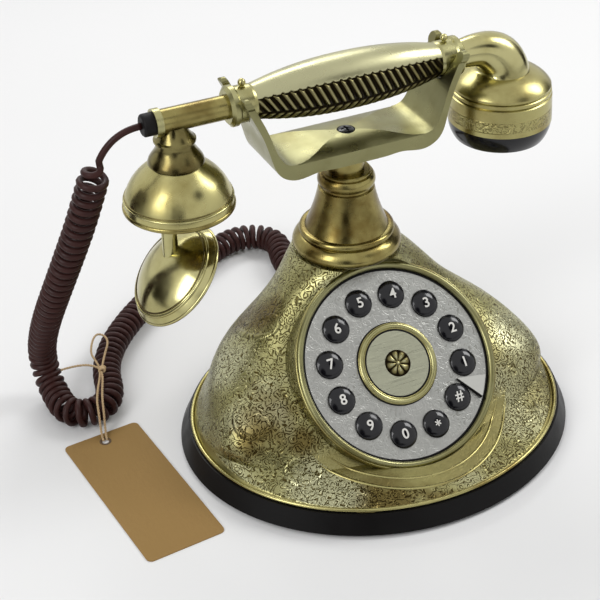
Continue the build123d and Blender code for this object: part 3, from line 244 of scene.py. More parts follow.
# ---- Materials -----------------------------------------------------------------------------------
class Look:
    """A material and short ways to add its nodes."""

    def __init__(self, name, **settings):
        self.material = bpy.data.materials.new(name)
        self.material.use_nodes = True
        self.tree = self.material.node_tree
        self.shader = self.tree.nodes["Principled BSDF"]
        for key, value in settings.items():
            self.shader.inputs[key.replace("_", " ").title()].default_value = value
        self.place = self.add("TexCoord").outputs["Object"]

    def add(self, kind, inputs=(), **settings):
        node = self.tree.nodes.new("ShaderNode" + kind)
        for key, value in settings.items():
            setattr(node, key, value)
        for key, value in dict(inputs).items():
            if isinstance(value, bpy.types.NodeSocket):
                self.tree.links.new(value, node.inputs[key])
            else:
                node.inputs[key].default_value = value
        return node

    def math(self, operation, first, second=0.5):
        return self.add("Math", {0: first, 1: second}, operation=operation).outputs[0]

    def noise(self, scale, detail=2.0, rough=0.5, place=None, output=0):
        inputs = {"Vector": place or self.place, "Scale": scale, "Detail": detail, "Roughness": rough}
        return self.add("TexNoise", inputs).outputs[output]

    def span(self, value, low, high, out_low=0.0, out_high=1.0):
        inputs = {0: value, 1: low, 2: high, 3: out_low, 4: out_high}
        return self.add("MapRange", inputs, interpolation_type="SMOOTHSTEP").outputs[0]

    def blend(self, share, first, second):
        node = self.add("Mix", data_type="RGBA")
        for index, value in ((0, share), (6, first), (7, second)):
            if isinstance(value, bpy.types.NodeSocket):
                self.tree.links.new(value, node.inputs[index])
            else:
                node.inputs[index].default_value = value if index == 0 else (*value, 1)
        return node.outputs[2]

    def stretch(self, *scales):
        """The place, scaled by itself along x, y and z."""
        return self.add("VectorMath", {0: self.place, 1: scales}, operation="MULTIPLY").outputs[0]

    def put(self, key, value):
        self.tree.links.new(value, self.shader.inputs[key])

    def bump(self, height, distance, strength):
        inputs = {"Height": height, "Distance": distance, "Strength": strength}
        self.put("Normal", self.add("Bump", inputs).outputs[0])

    def warp(self, scale, amount):
        """The place, pushed about by noise."""
        colour = self.noise(scale, 1.0, output="Color")
        shift = self.add("VectorMath", {0: colour, 1: (0.5, 0.5, 0.5)}, operation="SUBTRACT").outputs[0]
        push = self.add("VectorMath", {0: shift, "Scale": amount}, operation="SCALE").outputs[0]
        return self.add("VectorMath", {0: self.place, 1: push}, operation="ADD").outputs[0]

    def scrolls(self, size):
        """Curled engraving: rings round scattered points, broken up by noise lines."""
        place = self.warp(190.0, 0.0060)
        cell = self.add("TexVoronoi", {"Vector": place, "Scale": 1 / size}, feature="F1").outputs["Distance"]
        rings = self.math("PINGPONG", self.math("MULTIPLY", cell, 3.4), 0.5)
        lines = self.math("PINGPONG", self.math("MULTIPLY", self.noise(150.0, 1.0, place=place), 9.0), 0.5)
        both = self.math("ADD", self.math("MULTIPLY", rings, 1.25), self.math("MULTIPLY", lines, 0.75))
        return self.span(both, 0.16, 0.55)


SLANT = math.sqrt(0.5)
DIAL = Vector((0, -0.0265, 0.054))
GROOVE = (0.060, 0.040, 0.009)
BRASS = (0.40, 0.365, 0.155)
OLD = (0.155, 0.108, 0.028)
RIM = (0.1015, 0.0900)
# Painted shade: dark patches on the body round the dial, as centres on the dial's plane and sizes.
PAINTED_SHADE_PATCHES = [
    ((-0.076, -0.008), 0.024), ((-0.058, -0.024), 0.017), ((-0.040, -0.070), 0.027),
    ((-0.010, -0.080), 0.020), ((-0.056, 0.050), 0.017), ((0.045, -0.074), 0.012),
]
# Painted highlights: pale patches on the body, as centres on the dial's plane and sizes.
PAINTED_HIGHLIGHT_PATCHES = [((-0.060, -0.050), 0.010), ((-0.080, 0.030), 0.006), ((0.080, 0.000), 0.008)]


def dial_place(look):
    """How far a point is across and up the dial's plane, and from the dial's centre."""
    x, y, z = look.add("SeparateXYZ", {0: look.place}).outputs
    up = look.math("ADD", look.math("ADD", y, z), -DIAL.y - DIAL.z)
    up = look.math("MULTIPLY", up, SLANT)
    reach = look.math("SQRT", look.math("ADD", look.math("POWER", x, 2.0), look.math("POWER", up, 2.0)))
    return x, y, up, reach


def engraved_brass():
    """Curled engraving, worn bright on its ridges, with a smooth edge and a smooth strip under the dial;
    random tarnish, painted shade patches round the dial and painted highlights.
    """
    look = Look("engraved_brass", metallic=1.0, roughness=0.36)
    across, y, up, reach = dial_place(look)
    height = look.scrolls(0.0044)
    long_way = look.math("POWER", look.math("DIVIDE", across, RIM[0]), 2.0)
    deep_way = look.math("POWER", look.math("DIVIDE", y, RIM[1]), 2.0)
    edge = look.span(look.math("ADD", long_way, deep_way), 0.965, 0.945)
    below = look.span(up, -0.026, -0.036)
    strip = look.math("MULTIPLY", look.span(reach, 0.0668, 0.0658), below)
    cut = look.math("MULTIPLY", edge, look.math("SUBTRACT", 1.0, look.math("MULTIPLY", strip, 0.9)))
    tarnish_and_shade = look.math("MULTIPLY", look.span(look.noise(15.0, 3.0, 0.55), 0.40, 0.66), 0.45)
    flat = look.add("CombineXYZ", {0: across, 1: up, 2: 0.0}).outputs[0]
    # Painted shade: the dark patches deepen the random tarnish.
    for centre, size in PAINTED_SHADE_PATCHES:
        away = look.add("VectorMath", {0: flat, 1: (*centre, 0)}, operation="DISTANCE").outputs["Value"]
        away = look.math("ADD", away, look.math("MULTIPLY", look.noise(60.0, 3.0), 0.030))
        shade_patch = look.math("MULTIPLY", look.span(away, size + 0.014, size), 0.9)
        tarnish_and_shade = look.math("MAXIMUM", tarnish_and_shade, shade_patch)
    # Painted highlights: a random pale sheen and the pale patches lighten the ridges.
    painted_shine = look.math("MULTIPLY", look.span(look.noise(24.0, 2.0), 0.50, 0.66), 0.6)
    for centre, size in PAINTED_HIGHLIGHT_PATCHES:
        away = look.add("VectorMath", {0: flat, 1: (*centre, 0)}, operation="DISTANCE").outputs["Value"]
        painted_shine = look.math("MAXIMUM", painted_shine, look.span(away, size + 0.014, size))
    low = look.blend(tarnish_and_shade, (0.090, 0.071, 0.022), (0.030, 0.017, 0.003))
    high = look.blend(tarnish_and_shade, (0.335, 0.318, 0.145), (0.130, 0.095, 0.028))
    high = look.blend(look.math("MULTIPLY", painted_shine, 0.8), high, (0.50, 0.495, 0.32))
    colour = look.blend(height, low, high)
    plain = look.blend(tarnish_and_shade, (0.29, 0.262, 0.105), (0.17, 0.132, 0.045))
    look.put("Base Color", look.blend(cut, plain, colour))
    look.put("Roughness", look.span(look.noise(60.0, 2.0), 0.3, 0.7, 0.27, 0.42))
    look.bump(look.math("MULTIPLY", height, cut), 0.00036, 0.9)
    return look.material


def satin_brass(name, colour=BRASS, rough=0.26, dull=OLD, grain=0.00004, spread=(0.42, 0.80)):
    """Smooth brass with a little tarnish and fine scratches."""
    look = Look(name, metallic=1.0, roughness=rough)
    tarnish = look.span(look.noise(30.0, 4.0, 0.6), *spread)
    look.put("Base Color", look.blend(tarnish, colour, dull))
    look.put("Roughness", look.span(look.noise(90.0, 3.0), 0.3, 0.75, rough - 0.04, rough + 0.1))
    look.bump(look.noise(900.0, 3.0, 0.6), grain, 0.5)
    return look.material


def relief_brass():
    """Brass whose dark grooves and pale ridges come from the mesh's own relief."""
    look = Look("relief_brass", metallic=1.0, roughness=0.30)
    height = look.add("Attribute", attribute_name="relief").outputs["Fac"]
    tone = look.blend(look.span(height, 0.45, 0.85), (0.010, 0.007, 0.003), (0.200, 0.175, 0.075))
    tone = look.blend(look.span(height, 0.86, 0.98), tone, (0.445, 0.430, 0.255))
    look.put("Base Color", tone)
    look.put("Roughness", look.span(look.noise(70.0, 3.0), 0.3, 0.7, 0.24, 0.36))
    look.bump(look.noise(700.0, 3.0), 0.00006, 0.5)
    return look.material


def banded_brass(name, low, high):
    """Satin brass with a faint engraved band between two heights."""
    look = Look(name, metallic=1.0, roughness=0.26)
    split = look.add("SeparateXYZ", {0: look.place}).outputs
    inside = look.math("MULTIPLY", look.span(split[2], low, low + 0.0005),
                       look.span(split[2], high, high - 0.0005))
    height = look.scrolls(0.0040)
    cut = look.math("MULTIPLY", look.math("SUBTRACT", 1.0, height), inside)
    tarnish = look.span(look.noise(40.0, 4.0, 0.6), 0.35, 0.75)
    base = look.blend(tarnish, BRASS, (0.24, 0.19, 0.065))
    look.put("Base Color", look.blend(look.math("MULTIPLY", cut, 0.45), base, GROOVE))
    look.bump(look.math("MULTIPLY", height, inside), 0.0003, 0.6)
    return look.material


def pewter():
    """A grey dial plate with faint curled engraving."""
    look = Look("pewter_plate", metallic=1.0, roughness=0.36)
    height = look.scrolls(0.0048)
    tone = look.blend(height, (0.30, 0.30, 0.275), (0.46, 0.465, 0.44))
    look.put("Base Color", look.blend(look.span(look.noise(45.0, 3.0), 0.3, 0.7), tone, (0.44, 0.44, 0.415)))
    look.bump(height, 0.00010, 0.5)
    return look.material


def brushed_gold():
    """Fine strokes across the medallion."""
    look = Look("brushed_gold", metallic=1.0, roughness=0.30)
    stretched = look.stretch(60.0, 5200.0, 5200.0)
    strokes = look.noise(1.0, 4.0, 0.6, place=stretched)
    look.put("Base Color", look.blend(strokes, (0.56, 0.57, 0.44), (0.42, 0.42, 0.30)))
    look.put("Roughness", look.span(strokes, 0.2, 0.8, 0.24, 0.42))
    look.bump(strokes, 0.00005, 0.7)
    return look.material


def moulded(name, colour, rough, metal=0.0, grain=0.00008, ior=1.45):
    """Plastic, rubber or plain metal with a fine grain and slight colour drift."""
    look = Look(name, metallic=metal, roughness=rough)
    look.shader.inputs["IOR"].default_value = ior
    drift = look.noise(30.0, 3.0)
    shade = tuple(value * 0.72 for value in colour)
    look.put("Base Color", look.blend(drift, colour, shade))
    look.put("Roughness", look.span(look.noise(80.0, 3.0), 0.3, 0.7, max(rough - 0.05, 0.03), rough + 0.06))
    look.bump(look.noise(500.0, 3.0), grain, 0.5)
    return look.material


def kraft():
    """Brown card with long fibres and specks."""
    look = Look("kraft_card_look", roughness=0.85)
    fibres = look.stretch(900.0, 220.0, 900.0)
    strands = look.noise(1.0, 5.0, 0.7, place=fibres)
    specks = look.span(look.noise(1400.0, 2.0), 0.62, 0.72)
    tone = look.blend(strands, (0.235, 0.135, 0.038), (0.325, 0.20, 0.062))
    tone = look.blend(look.math("MULTIPLY", specks, 0.5), tone, (0.20, 0.11, 0.035))
    worn = look.span(look.noise(25.0, 2.0), 0.35, 0.7)
    look.put("Base Color", look.blend(worn, tone, (0.275, 0.165, 0.048)))
    look.bump(strands, 0.00006, 0.6)
    return look.material


def cord_skin():
    """Dark red-brown plastic, a little dusty."""
    look = Look("cord_skin", roughness=0.46)
    look.shader.inputs["IOR"].default_value = 1.3
    dust = look.noise(120.0, 3.0)
    look.put("Base Color", look.blend(dust, (0.020, 0.0062, 0.0052), (0.046, 0.0130, 0.0105)))
    look.put("Roughness", look.span(dust, 0.3, 0.7, 0.40, 0.55))
    look.bump(look.noise(800.0, 2.0), 0.00005, 0.4)
    return look.material


def twine_look():
    """Pale plant fibre."""
    look = Look("twine_fibre", roughness=0.9)
    fibres = look.noise(1800.0, 4.0, 0.7)
    look.put("Base Color", look.blend(fibres, (0.36, 0.24, 0.12), (0.66, 0.49, 0.29)))
    look.bump(fibres, 0.0002, 0.8)
    return look.material


ENGRAVED = engraved_brass()
RELIEF = relief_brass()
SATIN = satin_brass("satin_brass")
DARKER = satin_brass("aged_brass", (0.33, 0.285, 0.105), 0.24, (0.120, 0.078, 0.018), spread=(0.36, 0.70))
BRIGHT = satin_brass("polished_brass_look", (0.50, 0.465, 0.225), 0.17, (0.30, 0.26, 0.095), grain=0.00001)
PALE_BRASS = satin_brass("pale_brass", (0.405, 0.385, 0.190), 0.27, (0.265, 0.235, 0.090))
STRAP = satin_brass("cradle_brass", (0.265, 0.255, 0.125), 0.30, (0.175, 0.155, 0.060))
NECK = satin_brass("neck_brass", (0.230, 0.200, 0.080), 0.22, (0.075, 0.052, 0.016), spread=(0.36, 0.70))
SOFT_BRASS = satin_brass("bell_soft_brass", (0.46, 0.42, 0.185), 0.25, (0.26, 0.215, 0.075), grain=0.00002)
BELL = banded_brass("bell_brass", 0.1525, 0.1590)
PEWTER = pewter()
STOP = moulded("stop_metal", (0.62, 0.62, 0.58), 0.30)
GOLD = brushed_gold()
BLACK = moulded("black_moulding", (0.006, 0.0055, 0.0055), 0.36, ior=1.22)
GLOSS = moulded("gloss_black_look", (0.004, 0.004, 0.006), 0.14, grain=0.00001)
RUBBER = moulded("rubber_look", (0.009, 0.008, 0.008), 0.55, ior=1.25)
STEEL = moulded("steel_look", (0.56, 0.56, 0.55), 0.32, metal=1.0)
BOARD = moulded("board_green", (0.03, 0.16, 0.07), 0.5)
WHITE = moulded("digit_paint", (0.80, 0.79, 0.74), 0.45)
INK = moulded("tag_ink", (0.12, 0.075, 0.040), 0.8)
KRAFT = kraft()
CORD = cord_skin()
TWINE = twine_look()

curly_cord.data.materials.append(CORD)

BY_SLOT = {
    "antique_brass": SATIN, "polished_brass": BRIGHT, "black_plastic": BLACK, "gloss_black": GLOSS,
    "steel": STEEL, "rubber": RUBBER, "pewter": PEWTER, "medallion_gold": GOLD, "cord_brown": CORD,
    "kraft_card": KRAFT, "twine": TWINE, "circuit_board": BOARD,
}
BY_NODE = {
    "body_shell": ENGRAVED, "neck_cone": DARKER, "neck_collar": DARKER, "plunger_bush": DARKER,
    "plunger_stem": DARKER, "cradle": STRAP, "handset_tube": DARKER, "ear_bell": BELL,
    "mic_neck": NECK, "mic_bell": SOFT_BRASS, "mic_plate": DARKER, "medallion_ring": SATIN,
    "left_ferrule": PALE_BRASS, "right_ferrule": PALE_BRASS, "dial_bezel": STRAP, "finger_stop": STOP,
    "tube_ring": PALE_BRASS,
}
for part in frame["record"]["subparts"]:
    node = NODES[part["node"]]
    look = BY_NODE.get(part["node"], BY_SLOT[part["material_slot"]])
    node.data.materials.clear()
    node.data.materials.append(look)


# ---- Body: lip, scrolls and the framed strip under the dial --------------------------------------
RIGHT = Vector((1, 0, 0))
UPWARD = Vector((0, SLANT, SLANT))
NORMAL = Vector((0, -SLANT, SLANT))


def dial(across, up, depth):
    """A place from the dial's centre: across it, up its slope and out of it."""
    return DIAL + RIGHT * across + UPWARD * up + NORMAL * depth


def surface(name):
    """A CAD node's surface, to cast rays on."""
    mesh = NODES[name].data
    return BVHTree.FromPolygons([v.co for v in mesh.vertices], [p.vertices for p in mesh.polygons])


SHELL = surface("body_shell")


def on_body(across, up, lift):
    """The place on the body straight behind a point of the dial's plane."""
    place, normal, _, _ = SHELL.ray_cast(dial(across, up, 0.12), -NORMAL)
    if place is None:
        return None
    return place + normal * lift


def rib(name, flat, radius, body_lift):
    """A raised line on the body through points of the dial's plane; it thins out at its ends."""
    places = [on_body(across, up, body_lift) for across, up in flat]
    places = [place for place in places if place is not None]
    points, _ = sample([tuple(place) for place in places], max(12, len(places)))
    share = np.linspace(0, 1, len(points))
    taper = np.clip(np.minimum(share, 1 - share) * 7, 0.15, 1) ** 0.5
    return tube(name, points, radius * taper, sides=8, relief=np.full(len(points), 0.85))


def spiral(centre, size, turns, start, hand):
    """Points of a scroll that winds in from size, starting at an angle in degrees."""
    points = []
    for step in range(60):
        share = step / 59
        angle = math.radians(start) + hand * turns * 2 * math.pi * share
        reach = size * (1 - 0.86 * share)
        points.append((centre[0] + reach * math.cos(angle), centre[1] + reach * math.sin(angle)))
    return points


LIP = (0.1019, 0.0904)
LIP_HEIGHT = 0.0131
LIP_STEPS = 240
lip = []
for step in range(LIP_STEPS):
    angle = 2 * math.pi * step / LIP_STEPS
    lip.append((LIP[0] * math.cos(angle), LIP[1] * math.sin(angle), LIP_HEIGHT))
dress(tube("body_lip", lip, 0.0010, sides=10, closed=True), "base", SATIN)


def arc(reach, start, stop):
    """Points of an arc round the dial's centre, between two angles in degrees."""
    angles = [math.radians(start + (stop - start) * step / 59) for step in range(60)]
    return [(reach * math.cos(angle), reach * math.sin(angle)) for angle in angles]


BORDER = [arc(0.0670, -152, -28), arc(0.0612, -150, -28)]
for index, flat in enumerate(BORDER):
    dress(rib(f"strip_border_{index}", flat, 0.0009, -0.0004), "base", SATIN)
LEAVES = [
    spiral((0.0640, -0.0430), 0.0085, 1.2, 200, 1), spiral((0.0505, -0.0610), 0.0075, 1.2, 60, -1),
    [(0.0735, -0.0380), (0.0715, -0.0470), (0.0660, -0.0560), (0.0590, -0.0650)],
    [(0.0565, -0.0520), (0.0600, -0.0580), (0.0655, -0.0610)],
]
for index, flat in enumerate(LEAVES):
    dress(rib(f"leaf_{index}", flat, 0.0020, -0.0014), "base", ENGRAVED)
SCROLLS = [
    (spiral((-0.0790, -0.0060), 0.0120, 1.3, 80, 1), 0.0030),
    (spiral((-0.0660, -0.0360), 0.0105, 1.3, 20, -1), 0.0028),
    (spiral((-0.0560, 0.0430), 0.0100, 1.2, 120, 1), 0.0026),
    (spiral((-0.0470, -0.0640), 0.0095, 1.2, 150, -1), 0.0026),
]
for index, (flat, radius) in enumerate(SCROLLS):
    swell = rib(f"scroll_{index}", flat, radius, -0.68 * radius)
    dress(swell, "base", ENGRAVED)


# ---- Keys, digits and dial trim ------------------------------------------------------------------
KEY_NAMES = ["1", "2", "3", "4", "5", "6", "7", "8", "9", "0", "star", "hash"]
KEY_RING = 0.0375
KEY_START, KEY_TURN = -15, 30
KEY_RADIUS = 0.0074
KEY_DOME = 0.0021
DIGIT_SIZE = 0.0076
DIGIT_PROUD = 0.00012
STOP_ANGLE = -30


def dome_depth(reach):
    """Depth of a key's glossy dome at a distance from its centre."""
    return -KEY_DOME * (reach / KEY_RADIUS) ** 2.6


def key_cap(name, centre):
    """A glossy domed key top over the CAD key."""
    profile = [(KEY_RADIUS - 0.0001, -0.0052), (KEY_RADIUS, -0.0050)]
    for step in range(15):
        reach = KEY_RADIUS * (1 - step / 14)
        profile.append((reach, dome_depth(reach)))
    return lathe(name, profile, centre, NORMAL, 48)


def digit(name, letter, centre):
    """A pale numeral that follows the dome."""
    text = bpy.data.curves.new(name, "FONT")
    text.body = letter
    text.size = DIGIT_SIZE
    text.align_x = "CENTER"
    text.align_y = "CENTER"
    text.extrude = 0.00005
    text.offset = 0.00012
    holder = bpy.data.objects.new(name, text)
    bpy.context.scene.collection.objects.link(holder)
    mesh = bpy.data.meshes.new_from_object(holder)
    bpy.data.objects.remove(holder)
    fine = bmesh.new()
    fine.from_mesh(mesh)
    bmesh.ops.triangulate(fine, faces=fine.faces[:])
    bmesh.ops.subdivide_edges(fine, edges=fine.edges[:], cuts=3, use_grid_fill=True)
    fine.to_mesh(mesh)
    fine.free()
    low = np.array([v.co for v in mesh.vertices])
    middle = (low.max(0) + low.min(0)) / 2
    for vertex in mesh.vertices:
        flat = vertex.co.xy - Vector(middle[:2])
        depth = dome_depth(flat.length) + DIGIT_PROUD + vertex.co.z
        vertex.co = centre + RIGHT * flat.x + UPWARD * flat.y + NORMAL * depth
    made = bpy.data.objects.new(name, mesh)
    bpy.context.scene.collection.objects.link(made)
    return made


for index, key in enumerate(KEY_NAMES):
    angle = math.radians(KEY_START + KEY_TURN * index)
    centre = dial(KEY_RING * math.cos(angle), KEY_RING * math.sin(angle), 0)
    body = f"key_{key}_body"
    dress(key_cap("cap_" + key, centre), body, GLOSS, ["key_" + key])
    letter = {"star": "*", "hash": "#"}.get(key, key)
    dress(digit("digit_" + key, letter, centre), body, WHITE)


def ring(name, inner, outer, depth, thick, look, slot):
    """A flat ring with rounded edges, flush on the dial."""
    middle, half = (inner + outer) / 2, (outer - inner) / 2
    profile = []
    for step in range(13):
        angle = math.pi * step / 12
        profile.append((middle + half * math.cos(angle), thick * math.sin(angle)))
    return dress(lathe(name, profile, dial(0, 0, depth), NORMAL, 160), "base", look)


# Painted shadow: black rings round the dial plate, and inside and outside the medallion bead, stand for the
# shadow gaps there.
ring("dial_shadow_ring", 0.0506, 0.0519, -0.0031, 0.0004, BLACK, "black_plastic")
ring("dial_bead", 0.0549, 0.0563, -0.0030, 0.0012, SATIN, "antique_brass")
ring("medallion_shadow_ring", 0.0172, 0.0188, -0.0022, 0.0006, BLACK, "black_plastic")
ring("medallion_bead", 0.0190, 0.0216, -0.0018, 0.0010, PALE_BRASS, "medallion_gold")
ring("medallion_shadow_edge", 0.0214, 0.0226, -0.0031, 0.0005, BLACK, "black_plastic")


def stop_shadow_line():
    """A painted shadow: a black line along the finger stop's lower edge."""
    turn = math.radians(STOP_ANGLE)
    line = []
    for share in np.linspace(0, 1, 24):
        reach, drop = 0.0340 + 0.0155 * share, -0.0060 * share - 0.0003
        across = reach * math.cos(turn) - drop * math.sin(turn)
        up = reach * math.sin(turn) + drop * math.cos(turn)
        line.append(tuple(dial(across, up, -0.0020)))
    radius = 0.00035 + 0.0005 * np.linspace(0, 1, 24)
    return tube("stop_shadow_line", line, radius, sides=8)


dress(stop_shadow_line(), "base", BLACK)


ROSETTE_RADIUS = 0.0072
ROSETTE_DEPTH = -0.00175
ROSETTE_RELIEF = 0.0007


def rosette():
    """A plain eight-petal rosette in low relief on the medallion."""
    rows, columns = 22, 96
    verts, values = [], []
    for row in range(rows):
        reach = ROSETTE_RADIUS * row / (rows - 1)
        for column in range(columns):
            angle = 2 * math.pi * column / columns
            petal = abs(math.cos(4 * angle)) ** 0.7
            share = reach / ROSETTE_RADIUS
            height = petal * math.sin(math.pi * min(1, share * 1.02)) ** 0.8
            height = max(height, 1.0 - (share / 0.22) ** 2)
            height *= 1 if share < 0.995 else 0
            depth = ROSETTE_DEPTH + ROSETTE_RELIEF * height
            verts.append(dial(reach * math.cos(angle), reach * math.sin(angle), depth))
            values.append(0.25 + 0.75 * height)
    return piece("rosette", verts, grid_faces(rows, columns), values)


dress(rosette(), "base", RELIEF)


# ---- Grip ----------------------------------------------------------------------------------------
GRIP_HALF = 0.052
HANDSET_Y, HANDSET_Z = 0.0335, 0.192
PLAIT_FROM, PLAIT_SEAM, PLAIT_TO = 58, 112, 158
PLAIT_PITCH = 0.0044
PLAIT_DEPTH = 0.0012


def grip_skin():
    """The grip: smooth on top, with a plaited relief low on its front and back; turns are in degrees."""
    rows, columns = 420, 220
    verts, values = [], []
    for row in range(rows):
        along = -GRIP_HALF + 2 * GRIP_HALF * row / (rows - 1)
        base = 0.0150 - 0.0060 * abs(along / GRIP_HALF) ** 2.2
        fade = min(1, (GRIP_HALF - abs(along)) / 0.004)
        for column in range(columns):
            angle = 2 * math.pi * column / columns
            turn = abs((math.degrees(angle) + 180) % 360 - 180)
            scallop = 4 * abs(math.sin(math.pi * along / PLAIT_PITCH))
            above = turn < PLAIT_SEAM
            inside = (turn - PLAIT_FROM - scallop) / 5 if above else (PLAIT_TO + scallop - turn) / 5
            inside = max(0.0, min(1.0, inside))
            slope = abs(turn - PLAIT_SEAM) / 46
            phase = (along / PLAIT_PITCH + slope * 1.25 + (0.0 if above else 0.5)) % 1
            strand = max(0, 1 - (2 * phase - 1) ** 2) ** (2.2 if above else 0.9)
            centre = min(1, abs(turn - PLAIT_SEAM) / 6)
            height = strand * (0.25 + 0.75 * centre)
            height *= 0.93 if above else 0.95
            height = height * inside + (1 - inside) * (0.9 if inside == 0 else 0.15)
            reach = base - PLAIT_DEPTH * fade * (1 - height)
            verts.append((along, HANDSET_Y - reach * math.sin(angle), HANDSET_Z + reach * math.cos(angle)))
            # Painted shade: the relief values, and so the brass, grow darker towards the grip's right end.
            shade = 1 - 0.35 * max(0, (along - 0.030) / 0.022)
            values.append(0.98 if inside == 0 else height * shade)
    return piece("grip_skin", verts, grid_faces(rows, columns), values)


dress(grip_skin(), "handset", RELIEF, ["grip"])


def hoop(name, centre, axis, reach, thick, look):
    """A thin bead round a turned piece of the handset."""
    axis = Vector(axis).normalized()
    side = axis.orthogonal().normalized()
    other = axis.cross(side)
    line = []
    for step in range(120):
        angle = 2 * math.pi * step / 120
        line.append(tuple(Vector(centre) + (side * math.cos(angle) + other * math.sin(angle)) * reach))
    dress(tube(name, line, thick, sides=8, closed=True), "handset", look)


DISH = Vector((-0.0975, HANDSET_Y, 0.1035))
DISH_WAY = Vector((-SLANT, 0, SLANT))
# Beads on the dish and mic bell rims; the darker brass line beside each bead is painted shade of the groove
# along it.
hoop("dish_bead", DISH + DISH_WAY * 0.0041, DISH_WAY, 0.0254, 0.0008, BRIGHT)
hoop("dish_shade_line", DISH + DISH_WAY * 0.0052, DISH_WAY, 0.0241, 0.0005, NECK)
hoop("bell_bead", (-0.0935, HANDSET_Y, 0.1492), (0, 0, 1), 0.02725, 0.0006, BRIGHT)
hoop("bell_shade_line", (-0.0935, HANDSET_Y, 0.1506), (0, 0, 1), 0.02690, 0.0004, NECK)


# ---- Tag and twine -------------------------------------------------------------------------------
HOLE = Vector((-0.140466, 0.047327, 0.0))
KNOT = Vector((-0.127, 0.086, 0.0188))
KNOT_THICK = 0.0007
TWINE_LAY = 0.0030
TWINE_STEP = 0.0004
PLY_RADIUS = 0.00038
PLY_OFFSET = 0.00032
PLY_SIDES = 7
CORD_TOP = 0.0174


def twine(name, route):
    """Two plies twisted round each other along a route, the line that they follow and its length."""
    line, length = sample(nurbs_line(route), 80)
    line, length = sample(line, int(length / TWINE_STEP))
    centre, first, second = frames(line)
    angle = np.arange(len(line)) * TWINE_STEP / TWINE_LAY * 2 * math.pi
    points = []
    faces = []
    for ply in (0, math.pi):
        turned = centre + PLY_OFFSET * (
            np.cos(angle + ply)[:, None] * first + np.sin(angle + ply)[:, None] * second
        )
        ply_points, one, two = frames(turned)
        around = np.linspace(0, 2 * math.pi, PLY_SIDES, endpoint=False)
        ring_way = np.cos(around)[None, :, None] * one[:, None]
        ring_way = ring_way + np.sin(around)[None, :, None] * two[:, None]
        start = len(points)
        points += list((ply_points[:, None] + ring_way * PLY_RADIUS).reshape(-1, 3))
        faces += [tuple(i + start for i in face) for face in grid_faces(len(ply_points), PLY_SIDES)]
        last = start + (len(ply_points) - 1) * PLY_SIDES
        faces.append(tuple(start + i for i in range(PLY_SIDES))[::-1])
        faces.append(tuple(last + i for i in range(PLY_SIDES)))
    made = piece(name, points, faces)
    dress(made, "base", TWINE)
    return made, line, length


def knot_loop(shift, lean):
    """One turn of the knot, shifted along the cord and leaning to one side."""
    side_way = Vector((0.45, 1.0, 0)).normalized()
    across_way = Vector((-side_way.y, side_way.x, 0))
    tilted = (side_way + across_way * lean * 0.35).normalized()
    other = tilted.cross(Vector((0, 0, 1))).normalized()
    loop = []
    for step in range(28):
        angle = 2 * math.pi * step / 28
        spot = KNOT + side_way * shift * 1.4 + other * 0.0015 * math.cos(angle)
        loop.append(tuple(spot + Vector((0, 0, 0.0013 * math.sin(angle) + 0.0004))))
    return loop


strand_routes = []
for side in (-1, 1):
    strand_routes.append([
        (HOLE.x + side * 0.001, HOLE.y, 0.00135),
        (HOLE.x + side * 0.0012 + 0.001, HOLE.y + 0.006, 0.0017),
        (HOLE.x + side * 0.0014 + 0.002, HOLE.y + 0.009, CORD_TOP - 0.005),
        (HOLE.x + side * 0.0016 + 0.004, HOLE.y + 0.017, CORD_TOP + 0.0008),
        (KNOT.x + side * 0.0006, KNOT.y, KNOT.z - 0.0003),
    ])
strand_routes[0] += [
    (-0.1275, 0.0940, 0.0192), (-0.1275, 0.1060, 0.0186), (-0.1180, 0.1235, 0.0186),
    (-0.1130, 0.1130, 0.0190), (-0.1225, 0.0960, 0.0196), tuple(KNOT + Vector((0, 0, 0.0010))),
]
strand_routes[1] += [(-0.1320, 0.0900, 0.0215), (-0.1400, 0.0945, 0.0205), (-0.1475, 0.0965, 0.0188)]
for label, route, end in zip(("twine_left", "twine_right"), strand_routes, ("knot", "bare")):
    made, line, length = twine(label, route)
    if label == "twine_left":
        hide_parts("tag_twine")
        for index, (shift, lean) in enumerate(((-0.0007, 0.9), (0.0007, 0.9), (0.0, -0.9))):
            loop = knot_loop(shift, lean)
            wrap = tube(f"knot_turn_{index}", loop, KNOT_THICK, sides=10, closed=True)
            dress(wrap, "base", TWINE)

hole_rim = lathe(
    "tag_hole_rim", [(0.0020, 0.0), (0.0020, 0.00008), (0.0032, 0.00008), (0.0032, 0.0)],
    (HOLE.x, HOLE.y, 0.0006), (0, 0, 1), 40,
)
dress(hole_rim, "base", INK)


# ---- Floor and light -----------------------------------------------------------------------------
def panel(name, place, size, way, look):
    """A flat card facing a way."""
    half_x, half_y = size[0] / 2, size[1] / 2
    corners = [(-half_x, -half_y, 0), (half_x, -half_y, 0), (half_x, half_y, 0), (-half_x, half_y, 0)]
    made = piece(name, corners, [(0, 1, 2, 3)])
    made.location = place
    made.rotation_euler = Vector(way).to_track_quat("Z", "Y").to_euler()
    made.data.materials.append(look)
    return made


def floor_look():
    """Nearly even, pale grey."""
    look = Look("floor_look", roughness=0.75)
    look.put("Base Color", look.blend(look.noise(6.0, 2.0), (0.78, 0.78, 0.78), (0.80, 0.80, 0.80)))
    return look.material


def flag_look():
    """Dark in the middle of the card and clear at its edge, so that reflections have no hard outline."""
    look = Look("flag_look", roughness=1.0)
    look.shader.inputs["Base Color"].default_value = (0.02, 0.016, 0.010, 1)
    x, y, _ = look.add("SeparateXYZ", {0: look.add("TexCoord").outputs["Generated"]}).outputs
    squares = []
    for value in (x, y):
        offset = look.math("MULTIPLY", look.math("SUBTRACT", value, 0.5), 2.0)
        squares.append(look.math("POWER", offset, 2.0))
    away = look.math("SQRT", look.math("ADD", *squares))
    look.put("Alpha", look.span(away, 1.0, 0.45))
    return look.material


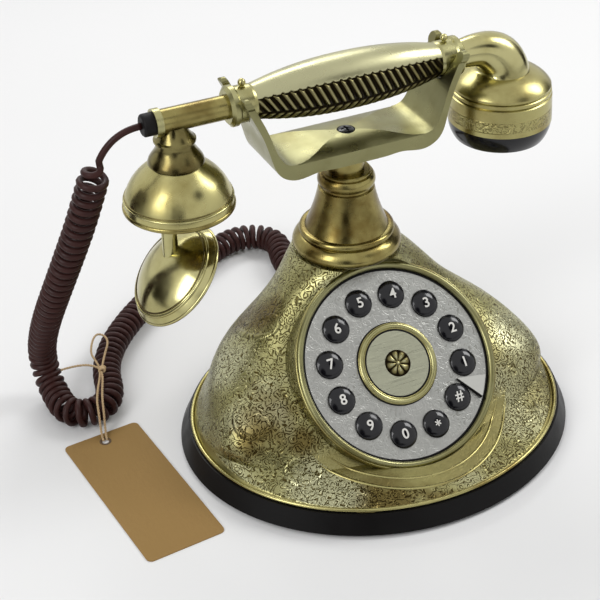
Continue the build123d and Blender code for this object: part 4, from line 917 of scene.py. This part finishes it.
panel("floor", (0, 0, 0), (24, 24), (0, 0, 1), floor_look())
FLAG = flag_look()
for name, place, size, way in (
    ("flag_front", (-0.62, -1.05, 0.42), (0.85, 1.3), (0.6, 1.05, -0.3)),
    ("flag_dial", (0.62, -0.95, 1.15), (0.75, 0.75), (-0.6, 0.92, -1.1)),
    ("flag_left", (-1.0, 0.30, 0.30), (0.8, 1.3), (1, -0.2, 0)),
    ("flag_right", (0.95, 0.15, 0.30), (0.55, 1.2), (-1, 0, 0)),
    ("flag_low", (-0.25, -0.62, 0.03), (0.9, 0.30), (0.3, 1, 0.1)),
):
    card = panel(name, place, size, way, FLAG)
    card.visible_camera = False
    card.visible_diffuse = False
    card.visible_shadow = False
    card.visible_transmission = False


def area(name, place, target, size, power):
    """A white rectangular light that faces a target."""
    light = bpy.data.lights.new(name, "AREA")
    light.shape = "RECTANGLE"
    light.size, light.size_y = size
    light.energy = power
    holder = bpy.data.objects.new(name, light)
    bpy.context.scene.collection.objects.link(holder)
    holder.location = place
    holder.rotation_euler = (Vector(target) - Vector(place)).to_track_quat("-Z", "Y").to_euler()


area("key_light", (1.0, -0.05, 0.95), (0, 0, 0.08), (0.45, 0.60), 7)
area("left_light", (-0.95, -0.35, 0.75), (0, 0, 0.10), (0.35, 0.8), 5)
area("rim_light", (0.1, 0.85, 0.9), (0, 0, 0.12), (0.8, 0.3), 4)

# The world lights the part less than it shows in the background and in reflections.
WORLD_FILL, WORLD_SEEN = 0.55, 0.92
world = bpy.data.worlds.new("world")
bpy.context.scene.world = world
world.use_nodes = True
links = world.node_tree.links
background = world.node_tree.nodes["Background"]
rays = world.node_tree.nodes.new("ShaderNodeLightPath")
seen = rays.outputs["Is Camera Ray"]
for kind in ("Is Glossy Ray", "Is Transmission Ray"):
    either = world.node_tree.nodes.new("ShaderNodeMath")
    either.operation = "MAXIMUM"
    links.new(seen, either.inputs[0])
    links.new(rays.outputs[kind], either.inputs[1])
    seen = either.outputs[0]
strength = world.node_tree.nodes.new("ShaderNodeMapRange")
strength.inputs[3].default_value = WORLD_FILL
strength.inputs[4].default_value = WORLD_SEEN
links.new(seen, strength.inputs[0])
links.new(strength.outputs[0], background.inputs["Strength"])
background.inputs["Color"].default_value = (1, 1, 1, 1)
